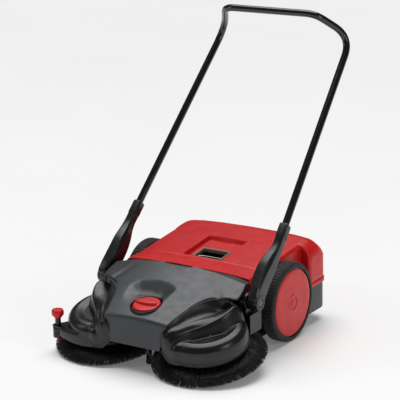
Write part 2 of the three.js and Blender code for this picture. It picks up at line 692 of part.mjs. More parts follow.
// A blank of the cover: its side view pushed across, with its top edges falling away at the sides.
function coverBlank(inset) {
  const sideDrop = [[0, 0], [0.55, 3], [0.8, 8], [0.92, 16], [1, 46]];
  const acrossAt = [...sideDrop.map(([u, d]) => [-u, d]).reverse(), ...sideDrop.slice(1)];
  const width = coverWide - inset;
  const rings = acrossAt.map(([u, drop]) => {
    const top = coverTop.map(([y, z]) => new THREE.Vector3(u * width,
      Math.min(y - Math.sign(y) * inset, coverBack + 4 - inset), z - inset - drop * (z > 200)));
    top[0].y = coverFront + inset;
    const low = inset > 0 ? 100 : seam;
    top[top.length - 1].z = low;
    return [...top, new THREE.Vector3(u * width, coverFront + inset, low)];
  });
  const count = rings[0].length;
  const faces = strips(rings, false);
  const outline = rings[0].map((p) => new THREE.Vector2(p.y, p.z));
  const start = (rings.length - 1) * count;
  for (const [a, b, c] of THREE.ShapeUtils.triangulateShape(outline, [])) {
    faces.push(a, b, c, start + a, start + c, start + b);
  }
  return meshFrom(rings.flat(), faces);
}

function makeCover() {
  const plan = prismZ(hopperPlan(coverNarrow, coverWide, coverFront, coverBack + 5, 60), 100, 400);
  const inPlan = prismZ(hopperPlan(coverNarrow - 3, coverWide - 3, coverFront + 3, coverBack + 2,
    57), 50, 400);
  const outer = common(coverBlank(0), plan);
  const inner = common(coverBlank(sheet), inPlan);
  const arches = [-1, 1].map((side) => rod(archRadius, coverNarrow, 320, 32, 'x',
    [0, axleY, wheelRadius], side));
  const belowFront = box([-320, -200, 50], [320, wideFront, seamNarrow]);
  const pocket = prismX([[-82, 300], [-82, 268], [-44, 262], [20, 271], [100, 283], [100, 320]],
    -78, 78);
  const pocketWalls = prismX([[-85, 274], [-85, 266], [-44, 259], [20, 268], [103, 280],
    [103, 295], [60, 290]], -81, 81);
  const hole = box([-55, -44, 240], [55, 20, 300]);
  const shell = join(cut(outer, inner), common(pocketWalls, outer));
  place('hopper_cover', cut(shell, pocket, hole, belowFront, ...arches), redPlastic);
}

// The frame round the grip hole, laid on the sloping floor of the cover's pocket.
function makeGripRim() {
  const slope = [[-54, 264.3], [20, 272.3], [30, 273.8], [30, 278], [20, 276.4], [-54, 268.6]];
  const frame = cut(prismX(slope, -64, 64), box([-50, -44, 200], [50, 20, 320]));
  place('grip_rim', frame, rimPlastic);
}

for (const [name, side] of Object.entries(sides)) {
  makeWheel(name, side);
  makeLayshaft(name, side);
  makeBrushBelt(name, side);
  makeDiscBrush(name, side);
  makeCarrier(name, side);
  makeGuard(name, side);
}
makeRollerBelt();
makeHood();
makeChassis();
makeRoller();
makeHeightAdjuster();
makeSupport();
makeGuideRoller();
makeHandle();
makeTub();
makeCover();
makeGripRim();

export default sweeper;
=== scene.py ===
"""Looks of a walk-behind push sweeper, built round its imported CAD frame.

Lengths are millimetres in the shape code and metres in Blender. The front faces -Y.
"""
import json
import math

import bmesh
import bpy
import numpy as np
from bpy.props import FloatProperty, FloatVectorProperty, IntProperty, PointerProperty
from mathutils import Matrix, Vector


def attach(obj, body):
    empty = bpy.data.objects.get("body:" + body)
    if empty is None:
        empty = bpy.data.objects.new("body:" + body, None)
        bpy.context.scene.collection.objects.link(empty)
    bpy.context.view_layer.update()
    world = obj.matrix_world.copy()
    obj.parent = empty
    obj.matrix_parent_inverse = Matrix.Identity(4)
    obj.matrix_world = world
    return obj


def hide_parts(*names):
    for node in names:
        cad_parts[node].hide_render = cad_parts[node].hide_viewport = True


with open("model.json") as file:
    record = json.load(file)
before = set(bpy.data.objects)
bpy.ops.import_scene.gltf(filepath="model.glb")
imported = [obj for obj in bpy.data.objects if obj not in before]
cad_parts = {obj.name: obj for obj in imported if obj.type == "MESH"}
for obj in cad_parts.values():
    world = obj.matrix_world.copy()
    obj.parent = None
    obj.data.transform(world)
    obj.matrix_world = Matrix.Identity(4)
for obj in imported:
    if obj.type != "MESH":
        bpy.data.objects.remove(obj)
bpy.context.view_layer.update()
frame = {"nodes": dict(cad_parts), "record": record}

bl_info = {
    "name": "Push Sweeper",
    "version": (1, 0, 0),
    "blender": (4, 5, 0),
    "location": "View3D > Sidebar > Sweeper",
    "description": "Builds a walk-behind push sweeper round its CAD frame",
    "category": "Add Mesh",
}

SIDES = {"left": -1, "right": 1}
MM = 0.001

# Shared places in millimetres, and the tilts of the brushes and the knob. A pair's place is
# given for its +X member.
WHEEL = (0.0, 20.0, 136.0)
BRUSH = (193.0, -336.0, 43.0)
BRUSH_TILT = math.radians(12.5)
PIVOT = (307.0, -217.0, 208.0)
KNEE = (259.0, 513.0, 954.0)
CORNER = (182.0, 393.0, 1047.5)
KNOB = (0.0, -405.0, 208.0)
KNOB_TILT = math.radians(10.0)
GUIDE = (-334.0, -447.0, 0.0)
ROLLER = (0.0, -78.0, 61.5)

# The camera's place and target in metres, its roll in degrees and its lens in millimetres.
CAMERA_EYE = (2.883, -4.474, 1.951)
CAMERA_TARGET = (0.010, -0.091, 0.482)
CAMERA_ROLL = -1.31
CAMERA_LENS = 146.66


# ---------------------------------------------------------------- settings
def linear(code):
    """The linear colour of an sRGB hex code."""
    channels = [int(code[i:i + 2], 16) / 255 for i in (0, 2, 4)]
    return [c / 12.92 if c <= 0.04045 else ((c + 0.055) / 1.055) ** 2.4 for c in channels] + [1]


class SweeperSettings(bpy.types.PropertyGroup):
    """Sizes, counts and colours that the builders read."""

    filament: FloatProperty(
        name="Filament", description="Width of one bristle at its root",
        default=0.0013, min=0.0002, unit="LENGTH", subtype="DISTANCE")
    disc_tufts: IntProperty(
        name="Disc Tufts", description="Tufts in the outer ring of each disc brush",
        default=90, min=8)
    disc_filaments: IntProperty(
        name="Filaments per Tuft", description="Bristles in each tuft of a disc brush",
        default=32, min=1)
    roller_rows: IntProperty(
        name="Roller Rows", description="Spiral rows of tufts on the sweeping roller",
        default=12, min=1)
    tyre_lugs: IntProperty(
        name="Tyre Lugs", description="Cross lugs round each tyre",
        default=72, min=4)
    handle_tube: FloatProperty(
        name="Handle Tube", description="Outside diameter of the handle's tube",
        default=0.025, min=0.01, unit="LENGTH", subtype="DISTANCE")
    shell_wall: FloatProperty(
        name="Shell Wall", description="Wall thickness of the hood and the hopper's cover",
        default=0.003, min=0.001, unit="LENGTH", subtype="DISTANCE")
    guard_wall: FloatProperty(
        name="Guard Wall", description="Wall thickness of the brush guards and the bumper",
        default=0.0025, min=0.001, unit="LENGTH", subtype="DISTANCE")
    cover_edge: FloatProperty(
        name="Cover Edge", description="Radius of the hopper cover's top edges",
        default=0.013, min=0.001, unit="LENGTH", subtype="DISTANCE")
    soft_edge: FloatProperty(
        name="Soft Edge", description="Radius moulded on small plastic edges",
        default=0.0012, min=0.0, unit="LENGTH", subtype="DISTANCE")
    red: FloatVectorProperty(
        name="Red", description="Colour of the hopper cover, wheel discs and knobs",
        default=linear("d40a10")[:3], min=0.0, max=1.0, size=3, subtype="COLOR")
    grey: FloatVectorProperty(
        name="Grey", description="Colour of the front hood",
        default=linear("3a3c40")[:3], min=0.0, max=1.0, size=3, subtype="COLOR")
    black: FloatVectorProperty(
        name="Black", description="Colour of the guards, sockets and small black parts",
        default=linear("121413")[:3], min=0.0, max=1.0, size=3, subtype="COLOR")
    tub: FloatVectorProperty(
        name="Tub Grey", description="Colour of the hopper's tub",
        default=linear("404144")[:3], min=0.0, max=1.0, size=3, subtype="COLOR")
    trim: FloatVectorProperty(
        name="Trim", description="Colour of the frame round the grip hole",
        default=linear("7c7466")[:3], min=0.0, max=1.0, size=3, subtype="COLOR")
    bristle: FloatVectorProperty(
        name="Bristle", description="Colour of the brushes' bristles",
        default=linear("1c1d1d")[:3], min=0.0, max=1.0, size=3, subtype="COLOR")


# ---------------------------------------------------------------- materials
def put(tree, kind, settings=(), links=(), values=()):
    """Adds a node, sets its properties and values, and links its inputs."""
    node = tree.nodes.new(kind)
    for name, value in settings:
        setattr(node, name, value)
    for socket, value in values:
        node.inputs[socket].default_value = value
    for socket, source in links:
        tree.links.new(source, node.inputs[socket])
    return node


def noise(tree, where, size_mm, detail=3.0):
    """Noise whose features are about size_mm across."""
    return put(tree, "ShaderNodeTexNoise", links=[("Vector", where)],
               values=[("Scale", 1000.0 / size_mm), ("Detail", detail)]).outputs["Fac"]


def spread(tree, source, low, high):
    """Stretches a 0.35 to 0.65 signal over low to high."""
    return put(tree, "ShaderNodeMapRange", links=[("Value", source)],
               values=[("From Min", 0.35), ("From Max", 0.65), ("To Min", low),
                       ("To Max", high)]).outputs["Result"]


def tinted(tree, source, colour, change):
    """A colour that runs a little darker and lighter with a 0 to 1 signal."""
    dark = [c * (1 - change) for c in list(colour)[:3]] + [1]
    light = [min(1.0, c * (1 + change)) for c in list(colour)[:3]] + [1]
    mix = put(tree, "ShaderNodeMix", [("data_type", "RGBA")])
    # A Mix node's colour sockets share their names with its others, so they go by number.
    factor, first, second = mix.inputs[0], mix.inputs[6], mix.inputs[7]
    first.default_value = dark
    second.default_value = light
    tree.links.new(source, factor)
    return mix.outputs[2]


def surface(name, colour, rough, grain_mm, depth_mm, change=0.08, rough_change=0.06, patch_mm=60.0,
            metallic=0.0, ior=None, coat=0.0, stretch=(1, 1, 1), sheen=0.0):
    """A principled surface with patchy colour, patchy roughness and a fine grain."""
    material = bpy.data.materials.new(name)
    material.use_nodes = True
    tree = material.node_tree
    tree.nodes.clear()
    place = put(tree, "ShaderNodeTexCoord").outputs["Object"]
    scaled = put(tree, "ShaderNodeMapping", links=[("Vector", place)],
                 values=[("Scale", stretch)]).outputs["Vector"]
    patch = noise(tree, place, patch_mm)
    fine = noise(tree, scaled, grain_mm, 2.0)
    wear = spread(tree, noise(tree, place, patch_mm * 0.4, 5.0), rough - rough_change,
                  rough + rough_change)
    bump = put(tree, "ShaderNodeBump", links=[("Height", fine)],
               values=[("Strength", 1.0), ("Distance", depth_mm * MM)])
    values = [("Metallic", metallic), ("Coat Weight", coat), ("Coat Roughness", 0.12),
              ("Sheen Weight", sheen)]
    if ior:
        values.append(("IOR", ior))
    shader = put(tree, "ShaderNodeBsdfPrincipled", values=values, links=[
        ("Base Color", tinted(tree, spread(tree, patch, 0.0, 1.0), colour, change)),
        ("Roughness", wear), ("Normal", bump.outputs["Normal"])])
    put(tree, "ShaderNodeOutputMaterial", links=[("Surface", shader.outputs["BSDF"])])
    return material


def make_materials(settings):
    """Every surface of the machine, by the record's material slot."""
    made = {}
    # Polished-mould polypropylene: deep black with broad soft reflections.
    # The real flow marks are finer than this grain, which is coarser to show at all.
    made["black_plastic"] = surface("Polypropylene_Black_Satin_Moulded", settings.black, 0.30,
                                    1.6, 0.01, 0.12, 0.03, ior=1.49)
    # Spark-eroded mould texture: a dull even grey that greys further where light grazes it.
    made["grey_plastic"] = surface("Polypropylene_Grey_Textured_Moulded", settings.grey, 0.38,
                                   1.4, 0.03, 0.06, 0.05, ior=1.49)
    # Pigmented polypropylene from a fine mould: saturated red with a satin shine.
    made["red_plastic"] = surface("Polypropylene_Red_Satin_Moulded", settings.red, 0.40, 1.5,
                                  0.02, 0.05, 0.05, ior=1.49)
    # Rotationally moulded polyethylene: a waxy dark grey with a slight orange peel.
    made["tub_plastic"] = surface("Polyethylene_DarkGrey_Matte", settings.tub, 0.52, 3.0, 0.08,
                                  0.08, 0.06, ior=1.51)
    # Uncoloured glass-filled trim: pale, dull and a little dusty.
    made["rim_plastic"] = surface("Nylon_Beige_Trim_Matte", settings.trim, 0.5, 1.5, 0.03, 0.1,
                                  0.08, ior=1.53)
    # Vulcanised tread rubber: near black, dull, dusty in patches.
    made["tyre"] = surface("Rubber_Tread_Vulcanised", linear("1a1b1c"), 0.72, 1.8, 0.06, 0.3,
                           0.12, patch_mm=25.0, ior=1.52, sheen=0.05)
    # Extruded polyurethane cord: dull black, evenly scuffed.
    made["belt_rubber"] = surface("Rubber_Round_Belt", linear("121212"), 0.65, 1.0, 0.03, 0.2,
                                  0.1, ior=1.52)
    # Drawn nylon filament: black with a narrow shine along each bristle, and a strong patchy tone
    # that is partly random and partly painted highlight for bristles catching the light.
    made["bristle"] = surface("Nylon_Filament_Drawn", settings.bristle, 0.30, 4.0, 0.02, 0.8,
                              0.12, patch_mm=6.0, ior=1.53)
    # Baked powder coat on drawn tube: gloss black with orange peel.
    made["painted_tube"] = surface("Steel_Tube_Powder_Coat_Black", linear("0d0e10"), 0.18, 5.0,
                                   0.03, 0.15, 0.04, ior=1.5, coat=0.4)
    # Zinc-plated turned steel: bright grey with fine rings across its length.
    made["steel"] = surface("Steel_Zinc_Plated_Turned", linear("b4b6b8"), 0.34, 1.2, 0.02, 0.08,
                            0.1, metallic=1.0, stretch=(4, 1, 1))
    # Natural nylon cut on a lathe: creamy white with a dull finish.
    made["nylon"] = surface("Nylon_Natural_Machined", linear("d9d6cb"), 0.45, 1.5, 0.02, 0.06,
                            0.06, ior=1.53)
    return made


MATERIALS = {}


# ---------------------------------------------------------------- shape helpers
def smoothstep(low, high, value):
    """An S-curve from 0 at low to 1 at high."""
    t = np.clip((np.asarray(value, float) - low) / (high - low), 0, 1)
    return t * t * (3 - 2 * t)


def through(points, count):
    """Samples a smooth line through points, at even steps of its length."""
    p = np.asarray(points, float)
    gaps = np.maximum(np.linalg.norm(np.diff(p, axis=0), axis=1), 1e-6)
    knots = np.concatenate([[0], np.cumsum(gaps)])
    slopes = np.gradient(p, knots, axis=0)
    at = np.linspace(0, knots[-1], count)
    i = np.clip(np.searchsorted(knots, at, side="right") - 1, 0, len(p) - 2)
    width = gaps[i][:, None]
    t = ((at - knots[i]) / gaps[i])[:, None]
    return ((2 * t**3 - 3 * t**2 + 1) * p[i] + (t**3 - 2 * t**2 + t) * width * slopes[i]
            + (3 * t**2 - 2 * t**3) * p[i + 1] + (t**3 - t**2) * width * slopes[i + 1])


def filleted(points, radius, steps=5, closed=False):
    """A path with its corners rounded. The radius may be one number or one for each corner."""
    p = [np.asarray(q, float) for q in points]
    radii = radius if isinstance(radius, (list, tuple)) else [radius] * len(p)
    out = []
    for i, here in enumerate(p):
        if not closed and i in (0, len(p) - 1):
            out.append(here)
            continue
        before, after = p[i - 1] - here, p[(i + 1) % len(p)] - here
        la, lb = np.linalg.norm(before), np.linalg.norm(after)
        turn = math.acos(float(np.clip(before @ after / (la * lb), -1, 1)))
        if radii[i] <= 0 or turn > math.pi - 0.02:
            out.append(here)
            continue
        reach = min(radii[i] / math.tan(turn / 2), la * 0.49, lb * 0.49)
        start, end = here + before / la * reach, here + after / lb * reach
        for k in range(steps + 1):
            t = k / steps
            out.append((1 - t) ** 2 * start + 2 * t * (1 - t) * here + t * t * end)
    return np.array(out)


def grid_faces(rows, columns, wrap_rows=False, wrap_columns=False):
    """The four-sided faces of a grid of points, closed on itself where it wraps."""
    faces = []
    for i in range(rows if wrap_rows else rows - 1):
        for j in range(columns if wrap_columns else columns - 1):
            a, b = i * columns + j, i * columns + (j + 1) % columns
            k = (i + 1) % rows
            faces.append((a, b, k * columns + (j + 1) % columns, k * columns + j))
    return faces


def sheet(rows, wrap_rows=False, wrap_columns=False):
    """A shape made of rows of points."""
    rows = np.asarray(rows, float)
    return rows.reshape(-1, 3), grid_faces(*rows.shape[:2], wrap_rows, wrap_columns)


def lathe(profile, segments):
    """Points and faces of a [radius, height] profile turned about z. Ends on the axis close."""
    points, faces, starts = [], [], []
    angles = np.linspace(0, 2 * math.pi, segments, endpoint=False)
    for r, h in profile:
        starts.append((len(points), r > 1e-6))
        ring = angles if r > 1e-6 else angles[:1]
        points.extend((r * math.cos(a), r * math.sin(a), h) for a in ring)
    for (a, wide_a), (b, wide_b) in zip(starts, starts[1:]):
        for j in range(segments):
            k = (j + 1) % segments
            quad = [a + (j if wide_a else 0), a + (k if wide_a else 0),
                    b + (k if wide_b else 0), b + (j if wide_b else 0)]
            kept = list(dict.fromkeys(quad))
            if len(kept) > 2:
                faces.append(tuple(kept))
    return np.array(points), faces


def upright(points, where, tilt=0.0):
    """Stands a shape made round z at a place, tipped forward about x."""
    c, s = math.cos(tilt), math.sin(tilt)
    p = np.asarray(points, float)
    return np.stack([p[:, 0], p[:, 1] * c - p[:, 2] * s, p[:, 1] * s + p[:, 2] * c], 1) + where


def sideways(points, where, side=1):
    """Lays a shape made round z along x, outward on one side."""
    p = np.asarray(points, float)
    return np.stack([p[:, 2] * side, p[:, 0], p[:, 1] * side], 1) + where


def stood(shape, where, tilt=0.0):
    """A whole shape stood upright at a place."""
    return upright(shape[0], where, tilt), shape[1]


def laid(shape, where, side=1):
    """A whole shape laid sideways at a place."""
    return sideways(shape[0], where, side), shape[1]


def sweep(path, section):
    """Rings of a flat section carried along a path without twist."""
    path = np.asarray(path, float)
    across = np.array([1.0, 0.0, 0.0])
    rings = []
    for i, point in enumerate(path):
        along = path[min(i + 1, len(path) - 1)] - path[max(i - 1, 0)]
        along /= np.linalg.norm(along)
        across = across - along * (across @ along)
        across /= np.linalg.norm(across)
        up = np.cross(along, across)
        rings.append([point + a * across + b * up for a, b in section])
    return np.array(rings)


def circle(radius, count):
    """Points of a circle round the origin."""
    return [(radius * math.cos(a), radius * math.sin(a))
            for a in np.linspace(0, 2 * math.pi, count, endpoint=False)]


def merge(*shapes):
    """Joins shapes of (points, faces) into one."""
    points, faces, start = [], [], 0
    for p, f in shapes:
        points.append(np.asarray(p, float))
        faces.extend(tuple(i + start for i in face) for face in f)
        start += len(p)
    return np.concatenate(points), faces


def outline_distance(x, y, outline):
    """Distance from points to a closed flat outline."""
    a = np.asarray(outline, float)
    b = np.roll(a, -1, axis=0)
    d = b - a
    p = np.stack([np.ravel(x), np.ravel(y)], 1)[:, None, :]
    t = np.clip(((p - a) * d).sum(2) / np.maximum((d * d).sum(1), 1e-9), 0, 1)
    return np.sqrt((((a + t[..., None] * d) - p) ** 2).sum(2).min(1)).reshape(np.shape(x))


def inside(x, y, outline):
    """True where points are inside a closed flat outline."""
    a = np.asarray(outline, float)
    hit = np.zeros(np.shape(x), bool)
    for (x0, y0), (x1, y1) in zip(a, np.roll(a, -1, axis=0)):
        if y0 != y1:
            cross = x0 + (y - y0) * (x1 - x0) / (y1 - y0)
            hit ^= ((y0 > y) != (y1 > y)) & (x < cross)
    return hit


def dropped(distance, radius):
    """How far a rounded edge has fallen at a distance in from it."""
    near = np.clip(radius - distance, 0, radius)
    return radius - np.sqrt(np.maximum(radius**2 - near**2, 0))


def piece(name, shape, slot, body, nodes=(), sharp=32.0, tidy=True):
    """Makes a mesh object from a shape in millimetres and fixes it to a body."""
    if slot not in MATERIALS:
        raise RuntimeError(f"Make the surfaces before {name}")
    points, faces = shape
    mesh = bpy.data.meshes.new(name)
    mesh.from_pydata([tuple(p) for p in np.asarray(points, float) * MM], [], faces)
    if tidy:
        work = bmesh.new()
        work.from_mesh(mesh)
        bmesh.ops.remove_doubles(work, verts=work.verts, dist=2e-6)
        bmesh.ops.recalc_face_normals(work, faces=work.faces)
        work.to_mesh(mesh)
        work.free()
    mesh.polygons.foreach_set("use_smooth", [True] * len(mesh.polygons))
    mesh.set_sharp_from_angle(angle=math.radians(sharp))
    obj = bpy.data.objects.new(name, mesh)
    bpy.context.scene.collection.objects.link(obj)
    mesh.materials.append(MATERIALS[slot])
    if body:
        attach(obj, body)
    if nodes:
        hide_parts(*nodes)
    return obj


def wall(obj, thickness):
    """Gives an open surface a wall on its inner side."""
    solid = obj.modifiers.new("wall", "SOLIDIFY")
    solid.thickness = thickness
    solid.offset = -1.0
    return obj


def soften(obj, width, segments=2, angle=35.0):
    """Rounds an object's sharp edges as a mould does."""
    bevel = obj.modifiers.new("edges", "BEVEL")
    bevel.width = width
    bevel.segments = segments
    bevel.limit_method = "ANGLE"
    bevel.angle_limit = math.radians(angle)
    bevel.harden_normals = False
    return obj


def settle(obj, sharp=32.0):
    """Applies an object's modifiers to its mesh."""
    bpy.context.view_layer.update()
    made = bpy.data.meshes.new_from_object(obj.evaluated_get(bpy.context.evaluated_depsgraph_get()))
    obj.modifiers.clear()
    obj.data = made
    made.polygons.foreach_set("use_smooth", [True] * len(made.polygons))
    made.set_sharp_from_angle(angle=math.radians(sharp))
    return obj


def carve(obj, *cutters, sharp=32.0):
    """Cuts shapes out of an object and applies its modifiers."""
    tools = []
    for number, shape in enumerate(cutters):
        tool = piece(f"cutter_{number}", shape, "steel", None)
        cut = obj.modifiers.new(f"cut_{number}", "BOOLEAN")
        cut.object = tool
        cut.operation = "DIFFERENCE"
        cut.solver = "EXACT"
        tools.append(tool)
    settle(obj, sharp)
    for tool in tools:
        bpy.data.objects.remove(tool)
    return obj


def prism(outline, low, high):
    """A flat outline pushed up along z."""
    count = len(outline)
    points = [(x, y, low) for x, y in outline] + [(x, y, high) for x, y in outline]
    faces = grid_faces(2, count, wrap_columns=True)
    faces += [tuple(range(count))[::-1], tuple(range(count, 2 * count))]
    return np.array(points, float), faces


def from_node(node, name, slot, width, segments=2, angle=30.0):
    """A CAD piece with its flat faces made whole again and its edges rounded."""
    source = frame["nodes"][node]
    work = bmesh.new()
    work.from_mesh(source.data)
    bmesh.ops.remove_doubles(work, verts=work.verts, dist=1e-6)
    bmesh.ops.dissolve_limit(work, angle_limit=math.radians(0.6), verts=work.verts,
                             edges=work.edges)
    points = [tuple(v.co / MM) for v in work.verts]
    faces = [tuple(v.index for v in f.verts) for f in work.faces]
    work.free()
    body = next(b for b, held in frame["record"]["behaviour"]["bodies"].items() if node in held)
    obj = piece(name, (points, faces), slot, body, [node])
    return soften(obj, width, segments, angle)


def dress():
    """Gives every carried-over CAD node its surface."""
    slots = {p["node"]: p["material_slot"] for p in frame["record"]["subparts"]}
    for name, node in frame["nodes"].items():
        node.data.materials.clear()
        node.data.materials.append(MATERIALS[slots[name]])


# ---------------------------------------------------------------- hood
# The hood's +X edge in plan, from front to rear.
HOOD_EDGE = [(122, -472), (130, -434), (143, -392), (161, -345), (180, -318), (205, -299),
             (237, -286), (264, -275), (265, -245), (258, -207)]
# Plan of the hollow round the knob.
SCOOP = [(-104, -406), (-117, -369), (-120, -327), (-91, -300), (-29, -290), (20, -294),
         (66, -312), (57, -377), (60, -430), (20, -455), (-70, -455)]
# The front edge of the dark slot in the hood's rear edge, from side to side.
SLOT_ARC = [(-57, -209), (-48, -219), (-27, -230), (0, -234), (27, -230), (48, -219), (57, -209)]
HOOD_FRONT, HOOD_REAR = -472, -207
# The hopper cover's middle line from front to rear: y and height.
COVER_TOP = [(-165, 272), (-82, 275.2), (-78, 276.6), (100, 296), (215, 306), (240, 303),
             (262, 290), (296, 245), (304, 160), (304, 143)]
# How far the hopper cover's top falls at each distance from its middle.
COVER_CROWN = [(0, 0), (120, 1.6), (190, 4.6), (240, 10), (250, 13.5), (262, 22), (274, 32),
               (285, 50)]


def crown_fall(x, crown=COVER_CROWN):
    """Fall of the hopper cover's top away from its middle."""
    return np.interp(np.abs(x), *np.array(crown).T)


def hood_top(x, y):
    """Height of the hood's upper surface."""
    front, front_height, slope, crown = -471, 184.7, 0.407, 0.00047
    z = front_height + (y - front) * slope - crown * x**2
    # A valley runs from each flank's edge up toward the rear corner.
    ax, ay, bx, by = 206.0, -293.0, 160.0, -228.0
    t = np.clip(((np.abs(x) - ax) * (bx - ax) + (y - ay) * (by - ay))
                / ((bx - ax) ** 2 + (by - ay) ** 2), 0, 1)
    away = np.hypot(np.abs(x) - ax - t * (bx - ax), y - ay - t * (by - ay))
    valley_depth, valley_width = 5.0, 13.0
    z = z - valley_depth * (1 - t) * np.exp(-(away / valley_width) ** 2)
    # The scoop's floor is flatter than the top, so it is deepest at its rear.
    floor_height, floor_slope, floor_crown = 205, 0.176, 0.0002
    floor = floor_height + (y - KNOB[1]) * floor_slope - floor_crown * x**2
    scoop = filleted(SCOOP, 26, 6, closed=True)
    deep = np.where(inside(x, y, scoop), outline_distance(x, y, scoop), 0)
    return z - np.maximum(z - floor, 0) * smoothstep(0, 52, deep)


def build_hood(settings):
    """The hood: front face, scooped top, rolled edges and a rear step under the hopper."""
    edge = through(HOOD_EDGE, 120)
    centre = np.linspace(HOOD_FRONT, HOOD_REAR, len(edge))
    # The columns crowd together toward both sides, where the surface bends most.
    crowding = math.pi / 2 * 0.82
    u = np.sin(np.linspace(-1, 1, 161) * crowding) / math.sin(crowding)
    outline = np.concatenate([edge, (edge * [-1, 1])[::-1]])
    blend = smoothstep(0.45, 1.0, np.abs(u))
    x = np.outer(edge[:, 0], u)
    y = centre[:, None] + (edge[:, 1] - centre)[:, None] * blend[None, :]
    edge_radius = 5.0
    z = hood_top(x, y) - dropped(outline_distance(x, y, outline), edge_radius) * 0.7
    top = np.stack([x, y, z], 2)
    front = []
    foot, foot_width, head_width = 88, 95, 121.5
    foot_y, lean, face_height = -479.5, 6, 97.0
    for t in np.linspace(0, 0.97, 16):
        xs = (foot_width + (head_width - foot_width) * t) * u
        roll = dropped(np.array(face_height * (1 - t)), edge_radius)
        front.append(np.stack([xs, np.full_like(xs, foot_y + lean * t + roll),
                               foot + t * (top[0, :, 2] - foot)], 1))
    rear = []
    last = top[-1]
    away = np.abs(last[:, 0])
    cover = COVER_TOP[0][1] - crown_fall(away, COVER_CROWN[:4])
    below = last[:, 2] - 4
    gap, ledge_height, rear_reach = 0.5, 260.5, 37.5
    # Each row: how far behind the top's rear edge, and its share of the drop to the ledge.
    for back, fall in [(3, 0.06), (4, 0.2), (4.5, 0.6), (4.5, 1.0), (14, 1.0), (26, 1.0),
                       (rear_reach, 1.0)]:
        flange = below - (below - np.minimum(cover - gap, below)) * min(1.0, back / rear_reach)
        ledge = ledge_height + (flange - ledge_height) * smoothstep(56, 66, away)
        row = last.copy()
        row[:, 1] = np.minimum(last[:, 1] + back, -169.5)
        row[:, 2] = last[:, 2] + (np.minimum(ledge, last[:, 2]) - last[:, 2]) * fall
        row[:, 0] = last[:, 0] * (1 if back < 5 else 0.96)
        rear.append(row)
    shape = sheet(np.concatenate([np.array(front), top, np.array(rear)]))
    hood = piece("hood_shell", shape, "grey_plastic", "chassis", ["front_hood"], 38)
    wall(hood, settings.shell_wall)
    arc = through(SLOT_ARC, 40)
    slot = prism(arc, 268, 330)
    # A black block just under the hood's skin fills the slot: painted shade standing in for the
    # dark inside of the open slot.
    slot_shade, slot_shade_faces = prism(arc * (1.03, 1.0) - (0, 1), 262, 272)
    top_half = slice(len(arc), None)
    slot_shade_depth = 3.4
    slot_shade[top_half, 2] = hood_top(slot_shade[top_half, 0], slot_shade[top_half, 1]) - slot_shade_depth
    piece("hood_slot_painted_shade", (slot_shade, slot_shade_faces), "black_plastic", "chassis", ["front_hood"])
    well = lathe([(0, -40), (55.3, -40), (55.3, 60), (0, 60)], 96)
    carve(hood, slot, stood(well, KNOB, KNOB_TILT), sharp=38)


# ---------------------------------------------------------------- guards
# The +X guard's leading lines, from front to rear: where it leaves the hood, the ridge at the
# foot of the dark leaf, and the crest of the shoulder.
GUARD_EDGE = [(117, -471, 176), (130, -436, 190), (143, -394, 205), (162, -347, 221),
              (182, -320, 229), (206, -302, 232), (237, -289, 229), (262, -279, 222)]
GUARD_RIDGE = [(133, -468, 163.5), (150, -441, 169), (168, -409, 177), (186, -372, 182.5),
               (203, -340, 187), (222, -303, 191), (243, -268, 197), (262, -236, 203)]
GUARD_CREST = [(146, -478, 148), (164, -455, 154), (184, -426, 161), (206, -402, 168),
               (229, -378, 179), (248, -356, 191), (260, -332, 203), (266, -308, 213),
               (269, -286, 219), (269, -262, 220), (267, -236, 216)]
# The guard's plan round the brush, out to its flat front corner beside the hood.
GUARD_CORNER = [(97, -466), (113, -474), (131, -479.5), (160, -485), (193, -476), (193, -400),
                (97, -400)]
GUARD_RADIUS = 137.2
# The dome over the brush: radius, and height along the brush's axis.
DOME = [(0, 104), (60, 103), (80, 103), (92, 108), (103, 112), (112, 110.5), (121, 107), (128, 101),
        (133, 94), (136, 84), (GUARD_RADIUS, 76)]


def to_brush(points):
    """Points in the machine's frame as points in the tilted frame of the +X disc brush."""
    p = np.asarray(points, float) - BRUSH
    c, s = math.cos(BRUSH_TILT), math.sin(BRUSH_TILT)
    return np.stack([p[..., 0], p[..., 1] * c + p[..., 2] * s, p[..., 2] * c - p[..., 1] * s], -1)


def nearest(x, y, line):
    """Signed distance outward from a line in plan, and the line's height at its nearest point."""
    p = np.stack([x.ravel(), y.ravel()], 1)
    gaps = p[:, None, :] - line[None, :, :2]
    at = (gaps**2).sum(2).argmin(1)
    before, after = line[np.maximum(at - 1, 0)], line[np.minimum(at + 1, len(line) - 1)]
    along = (after - before)[:, :2]
    along /= np.linalg.norm(along, axis=1)[:, None]
    gap = p - line[at, :2]
    slide = (gap * along).sum(1)
    rise = (after - before)[:, 2] / np.linalg.norm((after - before)[:, :2], axis=1)
    height = line[at, 2] + rise * np.clip(slide, -8, 8)
    away = along[:, 1] * gap[:, 0] - along[:, 0] * gap[:, 1]
    return away.reshape(x.shape), height.reshape(x.shape)


def smooth_max(a, b, width):
    """The higher of two heights, with the valley between them rounded."""
    return 0.5 * (a + b + np.sqrt((a - b) ** 2 + width**2))


